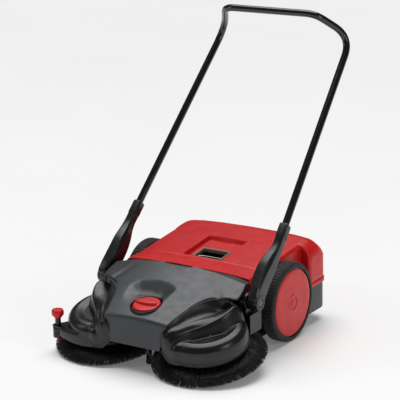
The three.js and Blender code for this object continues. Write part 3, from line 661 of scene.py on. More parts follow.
def guard_height(x, y, reach):
    """Height of a guard's skin along the brush's axis, reach in from its outline."""
    r, h = np.array(DOME).T
    dome = np.interp(GUARD_RADIUS - reach, r, h)
    edge, ridge, crest = (to_brush(through(line, 420))
                          for line in (GUARD_EDGE, GUARD_RIDGE, GUARD_CREST))
    from_edge, edge_z = nearest(x, y, edge)
    from_ridge, ridge_z = nearest(x, y, ridge)
    from_crest, crest_z = nearest(x, y, crest)
    # The dark leaf falls from the hood's edge to the ridge.
    leaf_part = np.clip(from_edge / np.maximum(from_edge - from_ridge, 1e-3), 0, 1)
    hollow = np.clip(0.16 * (from_edge - from_ridge), 0, 6)
    leaf = edge_z + (ridge_z - edge_z) * leaf_part - hollow * np.sin(leaf_part * math.pi) ** 0.8
    leaf = np.where(from_edge < 0, edge_z - 3 - 0.2 * np.abs(from_edge), leaf)
    # A broad shoulder swells from the ridge out to its crest, then drops to the scoop.
    part = np.clip(from_ridge / np.maximum(from_ridge - from_crest, 1e-3), 0, 1)
    bulge, shoulder, cliff = 4.0, 8, 2.6
    swell = ridge_z + (crest_z - ridge_z) * part + bulge * np.sin(part * math.pi) ** 0.8
    over = np.maximum(from_crest, 0)
    swell = swell - np.where(over < shoulder, over**2 * 0.11, 7.0 + (over - shoulder) * cliff)
    arm = np.where(from_ridge < 0, leaf, swell)
    top = smooth_max(arm, dome, 3.0)
    # The outline's edge is rolled over, whatever stands on it.
    roll = np.interp(reach, [0, 1.5, 4, 8, 14, 24, 38], [-62, -46, -33, -22, -12, -4, 0])
    top = np.where(arm > dome, np.minimum(top, np.maximum(arm + roll, dome)), top)
    # The mould's small radii soften every crease a little.
    for _ in range(5):
        around = (np.roll(top, 1, axis=1) + np.roll(top, -1, axis=1)) / 2
        inward = top.copy()
        inward[1:-1] = (top[2:] + top[:-2]) / 2
        top = 0.5 * top + 0.25 * around + 0.25 * inward
    return top


def build_guard(name, side, settings):
    """One brush guard: tilted skirt, dome, swelling arm and flat front corner in one skin."""
    corner = to_brush([(x, y, 60) for x, y in filleted(GUARD_CORNER, [0, 4, 3, 30, 0, 0, 0], 6)])
    turns = np.linspace(0, 2 * math.pi, 481)[:-1]
    spokes = np.stack([np.cos(turns), np.sin(turns)], 1)
    radius = np.full(len(turns), GUARD_RADIUS)
    for a, b in zip(corner, np.roll(corner, -1, axis=0)):
        d = (b - a)[:2]
        cross = spokes[:, 0] * d[1] - spokes[:, 1] * d[0]
        hit = (a[0] * d[1] - a[1] * d[0]) / np.where(abs(cross) < 1e-9, 1e-9, cross)
        part = ((spokes * hit[:, None] - a[:2]) @ d) / (d @ d)
        radius = np.where((hit > 0) & (part >= 0) & (part <= 1), np.maximum(radius, hit), radius)
    kernel = np.hanning(7) / np.hanning(7).sum()
    radius = np.convolve(np.concatenate([radius[-3:], radius, radius[:3]]), kernel, "valid")
    # Rings from the outline to the axis, closest together at the rolled edge.
    span = 137
    inward = np.concatenate([np.linspace(0, 3, 7), np.linspace(4.2, 60, 44),
                             np.linspace(62, span, 48)])
    share = 1 - np.outer(inward / span, np.ones(len(turns)))
    x, y = share * radius * spokes[:, 0], share * radius * spokes[:, 1]
    h = guard_height(x, y, (1 - share) * radius)
    top = np.stack([x, y, h], 2)
    skirt = []
    # The skirt's foot rises at the front corner beside the hood.
    foot, corner_rise = 43, 28
    low = foot + corner_rise * np.clip((131 - BRUSH[0] - x[0]) / 33, 0, 1) * (y[0] < -90)
    # Each row: its share of the drop to the foot, and how far it stands out.
    for t, out in [(1, 1.2), (0.97, 1.4), (0.6, 1.3), (0.58, 0.2), (0.3, 0.1), (0, 0)]:
        wider = 1 + out / span
        skirt.append(np.stack([x[0] * wider, y[0] * wider, h[0] + (low - h[0]) * t], 1))
    rows = np.concatenate([np.array(skirt), top])
    points = upright(rows.reshape(-1, 3) * (side, 1, 1), (side * BRUSH[0], BRUSH[1], BRUSH[2]),
                     BRUSH_TILT)
    # Under the hood the skin keeps below it, and it ends before the wheel and the hood's middle.
    hood = hood_top(points[:, 0], points[:, 1]) - 5
    under = inside(np.abs(points[:, 0]), points[:, 1],
                   [(0, HOOD_FRONT), *HOOD_EDGE, (0, HOOD_REAR)])
    points[:, 2] = np.where(under, np.minimum(points[:, 2], hood), points[:, 2])
    rear_end, inner_end = -236, 98
    faces = [f for f in grid_faces(len(rows), len(turns), wrap_columns=True)
             if max(points[i][1] for i in f) < rear_end
             and min(abs(points[i][0]) for i in f) > inner_end]
    skin = piece(f"guard_{name}", (points, faces), "black_plastic", "chassis",
                 [f"brush_guard_{name}"], 48)
    wall(skin, settings.guard_wall)
    rib = through([(233, -394, 140), (241, -366, 155), (247, -338, 166), (248, -310, 174)], 24)
    # The fin's section: a narrow crest on a foot that sinks into the skin.
    fin = np.array([[p + (-5, 1, -18), p + (-1.8, 0, -1), p + (-0.6, 0, 0.6), p + (0.6, 0, 0.6),
                     p + (1.8, 0, -1), p + (7, -3, -18)] for p in rib])
    fin[..., 0] *= side
    piece(f"guard_fin_{name}", sheet(fin), "black_plastic", "chassis", [f"brush_guard_{name}"], 50)


def build_bumper(settings):
    """The bumper and the shelf that carries the guide roller on the -X front corner."""
    shelf = filleted([(-205, -455), (-264, -470), (-328, -465), (-351, -459), (-355, -440),
                      (-334, -420), (-318, -378), (-290, -385)], [0, 8, 8, 10, 12, 10, 14, 0], 6,
                     closed=True)
    top = piece("bumper_shelf", prism(shelf, 86, 92), "black_plastic", "chassis",
                ["brush_guard_left"])
    soften(top, settings.soft_edge)
    path = through([(-134, -480), (-180, -486), (-222, -487), (-264, -481), (-300, -472),
                    (-318, -465)], 30)
    rows = []
    for x, y in path:
        # The wall is deepest beside the hood and shallowest at the guide roller.
        low = np.interp(-x, [134, 200, 264, 316], [58, 53, 56, 64])
        high = np.interp(-x, [134, 190, 240, 316], [112, 104, 98, 92])
        rows.append([(x, y + 3, low), (x, y, low), (x, y - 0.6, low + 2), (x, y, (low + high) / 2),
                     (x, y + 1.5, high - 3), (x, y + 5, high), (x, y + 24, high + 3)])
    panel = piece("bumper_wall", sheet(rows), "black_plastic", "chassis", ["brush_guard_left"], 45)
    wall(panel, settings.guard_wall)


# ---------------------------------------------------------------- brushes
def bristles(roots, tips, bows, width_mm, rings=3):
    """Tapered three-sided filaments from roots to tips, bowed on the way."""
    roots, tips, bows = (np.asarray(a, float) for a in (roots, tips, bows))
    along = tips - roots
    along /= np.linalg.norm(along, axis=1)[:, None]
    across = np.cross(along, [0.31, 0.17, 0.93])
    across /= np.linalg.norm(across, axis=1)[:, None]
    up = np.cross(along, across)
    points = []
    for k in range(rings):
        t = k / (rings - 1)
        middle = roots + (tips - roots) * t + bows * (4 * t * (1 - t))
        half = width_mm / 2 * (1 - 0.35 * t)
        for j in range(3):
            a = 2 * math.pi * j / 3
            points.append(middle + half * (across * math.cos(a) + up * math.sin(a)))
    count = len(roots)
    points = np.stack(points, 1).reshape(-1, 3)
    faces = []
    per = rings * 3
    for i in range(count):
        for k in range(rings - 1):
            for j in range(3):
                a, b = i * per + k * 3 + j, i * per + k * 3 + (j + 1) % 3
                faces.append((a, b, b + 3, a + 3))
        faces.append(tuple(i * per + (rings - 1) * 3 + j for j in range(3)))
    return points, faces


def build_disc_brush(name, side, settings):
    """One disc brush: two rings of tufts splayed out of a ribbed plate, and its pulley."""
    rng = np.random.default_rng(11 + side)
    roots, tips, bows = [], [], []
    # Each ring: radius and height of its roots, tufts, then reach and height of its tips.
    rings = [(114, 33.5, settings.disc_tufts, 191.6, 2.0),
             (103, 31.0, settings.disc_tufts - 6, 183, 1.2)]
    for ring, (r0, h0, count, r1, h1) in enumerate(rings):
        for tuft in range(count):
            middle = 2 * math.pi * (tuft + 0.5 * ring + rng.uniform(-0.2, 0.2)) / count
            lift = rng.uniform(0, 1.6)
            for _ in range(settings.disc_filaments):
                at = middle + rng.uniform(-0.45, 0.45) * 9 / r0
                lean = middle + rng.normal(0, 0.36) * 2 * math.pi / count
                radius = r0 + rng.uniform(-4, 1.5)
                reach = r1 - abs(rng.normal(0, 1.5)) - rng.uniform(0, 1) ** 12 * 9
                low = h1 + lift + rng.uniform(-0.8, 1.6)
                roots.append((radius * math.cos(at), radius * math.sin(at),
                              h0 + rng.uniform(-3, 1)))
                tips.append((reach * math.cos(lean), reach * math.sin(lean), max(low, 0.4)))
                bows.append((0, 0, rng.uniform(0.2, 1.4)))
    tufts = bristles(roots, tips, bows, settings.filament / MM)
    # The bed of bristles is too dense to see the floor through, so a dark cone fills it.
    bed = lathe([(108, 30), (135, 19), (165, 5.5), (165, 5), (135, 18.5), (108, 29)], 120)
    where = (side * BRUSH[0], BRUSH[1], BRUSH[2])
    body = f"disc_brush_{name}"
    piece(f"disc_bristles_{name}", stood(merge(tufts, bed), where, BRUSH_TILT), "bristle", body,
          [f"bristle_ring_{name}"], 180, tidy=False)
    plate = filleted([(8.3, 34.6), (96, 34.6), (100, 30), (117, 30), (117.5, 41), (60, 44.5),
                      (32, 46), (26, 62), (8.3, 62), (8.3, 34.6)],
                     [0, 3, 2, 2, 3, 0, 6, 2, 0, 0], 4)
    piece(f"disc_plate_{name}", stood(lathe(plate, 96), where, BRUSH_TILT), "black_plastic", body,
          [f"brush_plate_{name}"])
    groove = filleted([(8.3, 68), (38.8, 68), (38.8, 69), (31, 76), (38.8, 83), (38.8, 84),
                       (8.3, 84), (8.3, 68)], [0, 0.5, 0.5, 3, 0.5, 0.5, 0, 0], 4)
    piece(f"disc_pulley_{name}", stood(lathe(groove, 72), where, BRUSH_TILT), "black_plastic",
          body, [f"brush_pulley_{name}"])


def build_roller(settings):
    """The sweeping roller: spiral rows of tufts on a core."""
    rng = np.random.default_rng(5)
    half_length, core, reach = 190, 29, 60.3
    roots, tips, bows = [], [], []
    for row in range(settings.roller_rows):
        for x in np.arange(-half_length, half_length + 0.1, 5.0):
            angle = 2 * math.pi * row / settings.roller_rows + abs(x) / half_length * 0.9
            for _ in range(7):
                a = angle + rng.uniform(-0.09, 0.09)
                b = angle + rng.normal(0, 0.06)
                away = reach - rng.uniform(0, 1.5)
                shift = rng.uniform(-2.2, 2.2)
                roots.append((x + shift, core * math.cos(a), core * math.sin(a)))
                tips.append((np.clip(x + shift * 1.8, -half_length - 1.5, half_length + 1.5),
                             away * math.cos(b), away * math.sin(b)))
                bows.append((0, 0, 0))
    points, faces = bristles(roots, tips, bows, 1.0, rings=2)
    piece("roller_pile", (points + ROLLER, faces), "bristle", "sweeping_roller",
          ["roller_bristles"], 180, tidy=False)


# ---------------------------------------------------------------- wheels
def build_wheel(name, side, settings):
    """One wheel: lugged tyre and its red cover disc."""
    body = f"wheel_{name}"
    profile = filleted([(118, 253.5), (126, 253), (131.5, 254.5), (135.6, 259), (136, 266),
                        (136, 290), (135.6, 297), (131.5, 301.5), (126, 303), (118, 302.5)],
                       [0, 3, 4, 5, 0, 0, 5, 4, 3, 0], 4)
    steps, groove_depth, tread_foot = 6, 1.5, 129
    around = settings.tyre_lugs * steps
    rows = []
    for i in range(around):
        turn = 2 * math.pi * i / around
        ring = []
        for r, h in profile:
            # The grooves of the middle band stand half a lug round from those beside it.
            groove = (3, 4) if 272 < h < 284 else (0, 1)
            cut = groove_depth if r > tread_foot and i % steps in groove else 0.0
            ring.append(((r - cut) * math.cos(turn), (r - cut) * math.sin(turn), h))
        rows.append(ring)
    piece(f"tyre_tread_{name}", laid(sheet(rows, wrap_rows=True), WHEEL, side), "tyre", body,
          [f"tyre_{name}"], 25)
    disc = filleted([(0, 304.4), (11, 304.4), (12, 302.6), (22, 302.6), (23.5, 304.6),
                     (27.5, 304.6), (29, 303), (96, 303.6), (105, 303), (113.5, 301.5),
                     (115, 299.6), (0, 299.6)],
                    [0, 0.6, 0.8, 0.8, 0.8, 0.8, 0.8, 20, 8, 2, 0.3, 0], 4)
    piece(f"wheel_cover_{name}", laid(lathe(disc, 128), WHEEL, side), "red_plastic", body,
          [f"wheel_disc_{name}"], 25)


# ---------------------------------------------------------------- handle
def handle_axes(side):
    """A handle leg's pivot, and its directions along, to the front and inboard."""
    pivot = np.array(PIVOT) * (side, 1, 1)
    knee = np.array(KNEE) * (side, 1, 1)
    along = (knee - pivot) / np.linalg.norm(knee - pivot)
    front = np.array([0, -along[2], along[1]])
    front /= np.linalg.norm(front)
    return pivot, along, front, np.cross(front, along)


def build_handle(settings):
    """The push handle's bent tube."""
    half = []
    for side in (-1, 1):
        pivot, along, _, _ = handle_axes(side)
        half.append([pivot + along * 240, np.array(KNEE) * (side, 1, 1),
                     np.array(CORNER) * (side, 1, 1)])
    path = half[0] + half[1][::-1]
    path = filleted(path, [0, 75, 60, 60, 75, 0], 14)
    fine = [path[0]]
    for a, b in zip(path, path[1:]):
        steps = max(1, int(np.linalg.norm(b - a) / 60))
        fine.extend(a + (b - a) * (k + 1) / steps for k in range(steps))
    points, faces = sheet(sweep(fine, circle(settings.handle_tube / MM / 2, 28)),
                          wrap_columns=True)
    faces += [tuple(range(28))[::-1], tuple(range(len(points) - 28, len(points)))]
    piece("handle_bar", (points, faces), "painted_tube", "handle", ["handle_tube"], 60)


def build_socket(name, side):
    """One moulded socket: boss, deep lower arm with a rib, and a collar round the tube."""
    pivot, along, front, wide = handle_axes(side)
    # Each station: distance up the arm, then reach inboard, outboard, ahead, behind, and the
    # height of the crisp front edge on the outboard side.
    stations = through([(-16, 20, 7, 18, 10, 12), (-4, 27, 10, 32, 17, 26),
                        (28, 29, 10.5, 39, 19, 31), (62, 35, 10.5, 39, 19, 29),
                        (104, 35, 12, 38, 19, 25), (131, 32, 14, 36, 18, 21.5),
                        (161, 27, 15, 29, 15, 18), (184, 20, 15, 21, 15, 14),
                        (207, 16, 15, 16.6, 15, 11), (238, 15.7, 15, 16.4, 15, 11)], 60)
    stations = [tuple(s) for s in stations] + [
        (239, 15.5, 15.5, 16.4, 15.5, 11), (241, 16.4, 16.4, 17.4, 16.4, 12),
        (286, 16.2, 16.2, 17.2, 16.2, 12), (289, 15.6, 15.6, 16.6, 15.6, 11.5),
        (290.5, 14.6, 14.6, 15.4, 14.6, 11), (291, 12.8, 12.8, 12.8, 12.8, 9)]
    rings = []
    for s, inboard, outboard, ahead, behind, edge in stations:
        section = filleted([(-outboard, -behind), (-outboard, edge), (-outboard * 0.35, ahead),
                            (inboard * 0.8, ahead), (inboard, ahead * 0.6), (inboard, -behind)],
                           [5, 3, 6, 6, 6, 5], 6, closed=True)
        rings.append(pivot + along * s + np.outer(section[:, 0] * side, wide)
                     + np.outer(section[:, 1], front))
    arm, faces = sheet(rings, wrap_columns=True)
    faces.append(tuple(range(len(rings[0])))[::-1])
    piece(f"socket_arm_{name}", (arm, faces), "black_plastic", "handle",
          [f"handle_socket_{name}"], 26)
    axis = (0, PIVOT[1], PIVOT[2])
    boss = filleted([(9, 281), (26, 281), (26, 318), (14.4, 318), (13.7, 311.5), (9, 311.5)],
                    [0, 1.5, 2.5, 0.6, 0.6, 0], 4)
    piece(f"socket_boss_{name}", laid(lathe(boss, 64), axis, side), "black_plastic", "handle",
          [f"handle_socket_{name}"], 30)
    # The chassis boss that the socket turns against.
    knuckle = filleted([(9, 246), (29, 246), (29, 276.4), (9, 276.4)], [0, 4, 2, 0], 4)
    piece(f"pivot_boss_{name}", laid(lathe(knuckle, 64), axis, side), "black_plastic", "chassis",
          ["chassis_frame"], 30)
    head = filleted([(0, 256), (8, 256), (8, 312), (13, 312), (13, 315.8), (11.8, 317.2),
                     (0, 317.6)], [0, 0.4, 0.4, 0.6, 1, 1, 0], 3)
    piece(f"pivot_screw_{name}", laid(lathe(head, 48), axis, side), "painted_tube", "chassis",
          [f"pivot_bolt_{name}"])


# ---------------------------------------------------------------- knob and guide
def build_knob():
    """The height knob with its finger bar, and the well round it."""
    dial = filleted([(6.3, -10), (46, -10), (46.8, -2), (45.5, 2.5), (40, 4.6), (0, 5.4)],
                    [0, 0.8, 2, 3, 3, 0], 4)
    half_bar, half_width = 42, 12.5
    bar = []
    for z, grow in [(2, 1.0), (8, 0.985), (11, 0.955), (12.8, 0.89), (13.6, 0.78), (13.9, 0.5),
                    (14, 0.05)]:
        a = np.linspace(0, 2 * math.pi, 96, endpoint=False)
        x = half_bar * grow * np.sign(np.cos(a)) * np.abs(np.cos(a)) ** 0.75
        y = half_width * grow * np.sign(np.sin(a)) * np.abs(np.sin(a)) ** 0.9
        y = y * (1 - 0.16 * np.cos(a) ** 2)
        bar.append(np.stack([x, y, np.full_like(x, z)], 1))
    knob = merge(lathe(dial, 96), sheet(bar, wrap_columns=True))
    piece("knob_dial", stood(knob, KNOB, KNOB_TILT), "red_plastic", "knob", ["height_knob"], 35)
    well = filleted([(9, -14), (54.8, -14), (54.8, 1.5), (52, 1.5), (51.6, -11.5), (9, -11.5),
                     (9, -14)], [0, 1, 1, 1, 1, 0, 0], 3)
    piece("knob_bezel", stood(lathe(well, 96), KNOB, KNOB_TILT), "black_plastic", "chassis",
          ["knob_well"], 35)


def build_guide():
    """The guide roller, its sleeve, and the red press knob with its foot."""
    parts = [
        ("guide_wheel", "guide", "guide_roller", "black_plastic",
         [(7.3, 49), (16, 49), (18, 51), (18, 65), (17.2, 67), (18, 69), (18, 83), (16, 85),
          (7.3, 85), (7.3, 49)], 1.0),
        ("guide_tube", "chassis", "guide_sleeve", "black_plastic",
         [(4.4, 46), (8.6, 46), (8.6, 48.6), (7, 48.6), (7, 92.3), (9.5, 92.3), (9.5, 116),
          (4.4, 116), (4.4, 46)], 0.6),
        ("press_rod", "press", "press_stem", "red_plastic",
         [(0, 31), (6, 31), (6, 37), (4, 37), (4, 137), (0, 137)], 0.8),
        ("press_button", "press", "press_knob", "red_plastic",
         [(4.3, 117), (12, 117), (14, 122), (19, 126), (20.5, 131), (20.5, 141), (18, 146),
          (0, 148)], 2.0),
    ]
    for name, body, node, slot, profile, radius in parts:
        turned = lathe(filleted(profile, radius, 4), 56)
        piece(name, stood(turned, GUIDE), slot, body, [node], 35)


# ---------------------------------------------------------------- hopper
# Half widths of the cover between the wheels and behind them, and its rear corners' radius.
COVER_NARROW, COVER_WIDE, COVER_CORNER = 247, 285, 58
# The hole in the pocket's floor: half width, front and back.
GRIP_HOLE = (50, -44, 20)
def pocket_floor(y):
    """Height of the grip pocket's floor."""
    return np.interp(y, [-84, -44, 20, 100], [273.5, 263, 271.3, 281])


def cover_plan(narrow, wide, front, back, radius):
    """The cover's outline: narrow between the wheels, wide behind them, round rear corners."""
    half = [(narrow, front), (narrow, 164)]
    half += [(narrow + 2, 166), (wide - 12, 166), (wide - 4, 169.5), (wide, 178)]
    for angle in np.linspace(0, math.pi / 2, 14):
        half.append((wide - radius * (1 - math.cos(angle)), back - radius * (1 - math.sin(angle))))
    return half + [(-x, y) for x, y in reversed(half)]


def build_cover(settings):
    """The hopper's red cover: creased top, grip pocket, and the step behind the wheels."""
    edge_radius = settings.cover_edge / MM
    top = filleted(COVER_TOP, [0, 1, 1, 14, 10, 16, 22, 30, 4, 0], 6)
    ys, zs = top[:, 0], top[:, 1]
    length = np.concatenate([[0], np.cumsum(np.hypot(np.diff(ys), np.diff(zs)))])
    back_from = float(np.interp(192, ys, length))
    corner_y = COVER_TOP[-1][0] - COVER_CORNER
    narrow_rows = sorted({-165, -163.5, -161, -158, -154, *range(-150, -86, 8), -84, -82, -80,
                          -78, -76, -74, -71, -66, -58, -50, -44, *range(-36, 20, 8), 20, 28, 40,
                          52, 64, 76, 84, 89, 93, 96, 98.5, 101, 104, 110, 120, 130})
    # Each row: y at the middle, y at the sides, half width and height. The rows at the step
    # behind the wheels widen as they bend back.
    rows = [(y, y, COVER_NARROW, float(np.interp(y, ys, zs))) for y in narrow_rows]
    step = [(138, 140, 247), (144, 150, 247), (149, 157, 247), (153, 161, 247), (156, 163.6, 247),
            (158.5, 165, 247.6), (161, 165.8, 249), (163.5, 166, 253), (166, 166, 258),
            (168.5, 166, 263), (171, 166, 268), (173.5, 166.4, 273), (176, 168, 278),
            (179, 170.5, 281.6), (182, 174, 284), (186, 179, 285), (190, 186, 285)]
    rows += [(c, e, w, float(np.interp(c, ys, zs))) for c, e, w in step]
    for s in np.linspace(back_from, length[-1], 64):
        y, z = float(np.interp(s, length, ys)), float(np.interp(s, length, zs))
        turn = max(0.0, (y - corner_y) / COVER_CORNER)
        w = COVER_WIDE - COVER_CORNER * (1 - math.sqrt(max(0.0, 1 - min(turn, 1) ** 2)))
        rows.append((y, y, w, z))
    # Columns fall on the pocket's walls and the grip hole's edges.
    xs = sorted({0, 12, 24, 36, 46, 50, 56, 62, 68, 71, 73, 75, 76.5, 78, 79.5, 82, 88, 98, 112,
                 128, 144, 160, 176, 190, 202, 212, 220, 227, 232, 236, 239, 241.5, 243.5, 245,
                 246.2, 247})
    columns = np.array([-x for x in reversed(xs[1:])] + xs, float) / COVER_NARROW
    blend = smoothstep(0.7, 0.97, np.abs(columns))
    outline = cover_plan(COVER_NARROW, COVER_WIDE, -400, 600, 1)
    x, y, z = [], [], []
    for c, e, w, height in rows:
        x.append(columns * w)
        y.append(c + (e - c) * blend)
        z.append(np.full(len(columns), height) if c == e else np.interp(y[-1], ys, zs))
    x, y, z = map(np.array, (x, y, z))
    # The crown fades out down the rear wall.
    fade = np.clip((z - 150) / 90, 0, 1)
    z = z - fade * crown_fall(x)
    side_edge = outline_distance(x, y, outline)
    z = z - dropped(side_edge, edge_radius) * np.clip((z - 140) / 60, 0, 1)
    # The grip pocket opens at the front step and deepens to its back wall.
    half_pocket, pocket_front, pocket_back, wall_slope, front_ramp = 78, -84, 100, 5.5, 40
    reach = np.minimum(np.minimum(half_pocket - np.abs(x), pocket_back - y) / wall_slope,
                       (y - pocket_front) / front_ramp)
    z = z - np.maximum(z - pocket_floor(y), 0) * smoothstep(0, 1, reach)
    shell = np.stack([x, y, z], 2)
    n_rows, n_cols = x.shape
    faces = []
    half_hole, hole_front, hole_back = GRIP_HOLE
    for i in range(n_rows - 1):
        for j in range(n_cols - 1):
            cx, cy = x[i:i + 2, j:j + 2].mean(), y[i:i + 2, j:j + 2].mean()
            if abs(cx) < half_hole and hole_front < cy < hole_back:
                continue
            a = i * n_cols + j
            faces.append((a, a + 1, a + n_cols + 1, a + n_cols))
    points = [tuple(p) for p in shell.reshape(-1, 3)]
    front_seam, rear_seam = 190.0, 141.0

    def skirt(indices, low_at):
        """Walls from an edge of the top down to the seam."""
        above = list(indices)
        for t in (0.3, 0.7, 1.0):
            row = []
            for i in indices:
                px, py, pz = points[i]
                row.append(len(points))
                points.append((px, py, pz + (low_at(py) - pz) * t))
            for k in range(len(indices) - 1):
                faces.append((above[k], above[k + 1], row[k + 1], row[k]))
            above = row

    def low_at(y_here):
        """Height of the seam: higher between the wheels than behind them."""
        return front_seam if y_here < 165 else rear_seam

    skirt([i * n_cols for i in range(n_rows)], low_at)
    skirt([i * n_cols + n_cols - 1 for i in range(n_rows)], low_at)
    skirt(list(range(n_cols)), lambda _: front_seam)
    cover = piece("hopper_lid", (points, faces), "red_plastic", "hopper", ["hopper_cover"], 30)
    wall(cover, settings.shell_wall)


def build_lip():
    """The thick band round the foot of the cover, from wheel to wheel round the rear."""
    outline = filleted(cover_plan(COVER_NARROW, 287, -400, 307, 59)[2:-2], 1.0, 2)
    corner_x, corner_y = 227, 246.0
    # The band's section: distance out from the outline, and height.
    section = [(-4, 140.2), (0, 140.2), (0.6, 142), (0.4, 152), (-1, 155), (-4, 156.5)]
    rings = []
    for x, y in outline:
        away = np.array([np.sign(x) if abs(x) > 200 and y < corner_y else 0, 0.0])
        if y >= corner_y:
            away = np.array([x - np.sign(x) * corner_x if abs(x) > corner_x else 0, y - corner_y])
        away /= max(np.linalg.norm(away), 1e-6)
        rings.append([(x + away[0] * out, y + away[1] * out, z) for out, z in section])
    piece("hopper_lip", sheet(rings), "red_plastic", "hopper", ["hopper_cover"], 40)


def rectangle(half, front, back):
    """The corners of a rectangle that is centred across the machine."""
    return [(-half, front), (half, front), (half, back), (-half, back)]


def build_rim():
    """The frame round the grip hole."""
    half, front, back = GRIP_HOLE
    # The frame's inner edge follows the hole's, and its outer edge lies on the pocket's floor.
    lap, border_x, border_y = 0.5, 8.5, 7
    outer = filleted(rectangle(half + border_x, front - border_y, back + border_y), 4, 5,
                     closed=True)
    inner = filleted(rectangle(half + lap, front + 1, back - 1), 3, 5, closed=True)

    def lifted(ring, up):
        """A ring of the frame at a height above the pocket's floor."""
        return np.column_stack([ring, pocket_floor(ring[:, 1]) + up])

    rows = [lifted(outer, -0.5), lifted(outer, 2.2), lifted(outer * 0.985 + (0, -0.2), 3.2),
            lifted(inner * 1.02, 3.2), lifted(inner, 2.2), lifted(inner, -9)]
    piece("grip_frame", sheet(rows, wrap_columns=True), "rim_plastic", "hopper", ["grip_rim"], 40)


def build_tub():
    """The hopper's tub, with the radii its mould leaves."""
    tub = from_node("hopper_tub", "hopper_bin", "tub_plastic", 0.0025, 3)
    tub.modifiers["edges"].angle_limit = math.radians(40)


# ---------------------------------------------------------------- stage
def area(name, where, toward, size, power):
    """A white rectangular lamp that faces a point."""
    data = bpy.data.lights.new(name, "AREA")
    data.shape = "RECTANGLE"
    data.size, data.size_y = size
    data.energy = power
    lamp = bpy.data.objects.new(name, data)
    bpy.context.scene.collection.objects.link(lamp)
    lamp.location = where
    lamp.rotation_euler = (Vector(toward) - Vector(where)).to_track_quat("-Z", "Y").to_euler()
    return lamp


def build_floor():
    """A wide pale floor at the machine's feet."""
    half = 60
    mesh = bpy.data.meshes.new("floor")
    mesh.from_pydata([(-half, -half, 0), (half, -half, 0), (half, half, 0), (-half, half, 0)], [],
                     [(0, 1, 2, 3)])
    floor = bpy.data.objects.new("floor", mesh)
    bpy.context.scene.collection.objects.link(floor)
    # A back-lit opal acrylic table: matte, white, and glowing a little.
    acrylic = surface("Acrylic_Opal_Light_Table", linear("f2f2f2"), 0.9, 8.0, 0.01, 0.01, 0.03,
                      patch_mm=900.0, ior=1.45)
    shader = acrylic.node_tree.nodes["Principled BSDF"]
    shader.inputs["Emission Color"].default_value = linear("ffffff")
    shader.inputs["Emission Strength"].default_value = 0.12
    mesh.materials.append(acrylic)
    return floor


def build_camera():
    """The camera at its standing place, rolled a little."""
    data = bpy.data.cameras.new("camera")
    data.sensor_width = 36
    data.lens = CAMERA_LENS
    data.dof.use_dof = False
    data.clip_start, data.clip_end = 0.1, 200
    camera = bpy.data.objects.new("camera", data)
    bpy.context.scene.collection.objects.link(camera)
    eye, target, roll = Vector(CAMERA_EYE), Vector(CAMERA_TARGET), math.radians(CAMERA_ROLL)
    ahead = (target - eye).normalized()
    right = ahead.cross(Vector((0, 0, 1))).normalized()
    up = right.cross(ahead)
    right, up = (right * math.cos(roll) + up * math.sin(roll),
                 up * math.cos(roll) - right * math.sin(roll))
    turn = Matrix((right, up, -ahead)).transposed().to_4x4()
    camera.matrix_world = Matrix.Translation(eye) @ turn
    bpy.context.scene.camera = camera


def build_stage():
    """Floor, studio lights, world and the camera."""
    floor = build_floor()
    world = bpy.data.worlds.new("studio")
    bpy.context.scene.world = world
    world.use_nodes = True
    background = world.node_tree.nodes["Background"]
    background.inputs["Color"].default_value = linear("ffffff")
    background.inputs["Strength"].default_value = 0.09
    bpy.context.scene.view_settings.view_transform = "Standard"
    sun = bpy.data.lights.new("overhead", "SUN")
    sun.energy = 2.5
    sun.angle = math.radians(55)
    overhead = bpy.data.objects.new("overhead", sun)
    bpy.context.scene.collection.objects.link(overhead)
    overhead.rotation_euler = (math.radians(-14), math.radians(-10), 0)
    lamps = [overhead,
             area("soft_back", (-1.6, 2.6, 2.6), (0, 0, 0.3), (2.6, 1.2), 1.5),
             area("soft_right", (3.4, -0.8, 1.9), (0, -0.1, 0.2), (0.9, 1.6), 18),
             area("soft_left", (-3.0, -2.2, 2.2), (0, -0.2, 0.2), (0.8, 1.6), 12)]
    build_camera()


# ---------------------------------------------------------------- operators
class SWEEPER_OT_surfaces(bpy.types.Operator):
    """Makes the surfaces and dresses the CAD pieces"""

    bl_idname = "sweeper.surfaces"
    bl_label = "Surfaces"
    bl_options = {"REGISTER", "UNDO"}

    def execute(self, context):
        MATERIALS.update(make_materials(context.scene.sweeper))
        dress()
        return {"FINISHED"}


class SWEEPER_OT_stage(bpy.types.Operator):
    """Adds the floor, lights, world and camera"""

    bl_idname = "sweeper.stage"
    bl_label = "Stage"
    bl_options = {"REGISTER", "UNDO"}

    def execute(self, context):
        build_stage()
        return {"FINISHED"}


class SWEEPER_OT_hood(bpy.types.Operator):
    """Builds the front hood with its scoop and rear slot"""

    bl_idname = "sweeper.hood"
    bl_label = "Hood"
    bl_options = {"REGISTER", "UNDO"}

    def execute(self, context):
        build_hood(context.scene.sweeper)
        return {"FINISHED"}


class SWEEPER_OT_guards(bpy.types.Operator):
    """Builds both brush guards and the bumper"""

    bl_idname = "sweeper.guards"
    bl_label = "Brush Guards"
    bl_options = {"REGISTER", "UNDO"}

    def execute(self, context):
        settings = context.scene.sweeper
        for name, side in SIDES.items():
            build_guard(name, side, settings)
        build_bumper(settings)
        return {"FINISHED"}


class SWEEPER_OT_brushes(bpy.types.Operator):
    """Builds both disc brushes and the sweeping roller"""

    bl_idname = "sweeper.brushes"
    bl_label = "Brushes"
    bl_options = {"REGISTER", "UNDO"}

    def execute(self, context):
        settings = context.scene.sweeper
        for name, side in SIDES.items():
            build_disc_brush(name, side, settings)
        build_roller(settings)
        return {"FINISHED"}


class SWEEPER_OT_wheels(bpy.types.Operator):
    """Builds the tyres and the wheels' cover discs"""

    bl_idname = "sweeper.wheels"
    bl_label = "Wheels"
    bl_options = {"REGISTER", "UNDO"}

    def execute(self, context):
        for name, side in SIDES.items():
            build_wheel(name, side, context.scene.sweeper)
        return {"FINISHED"}


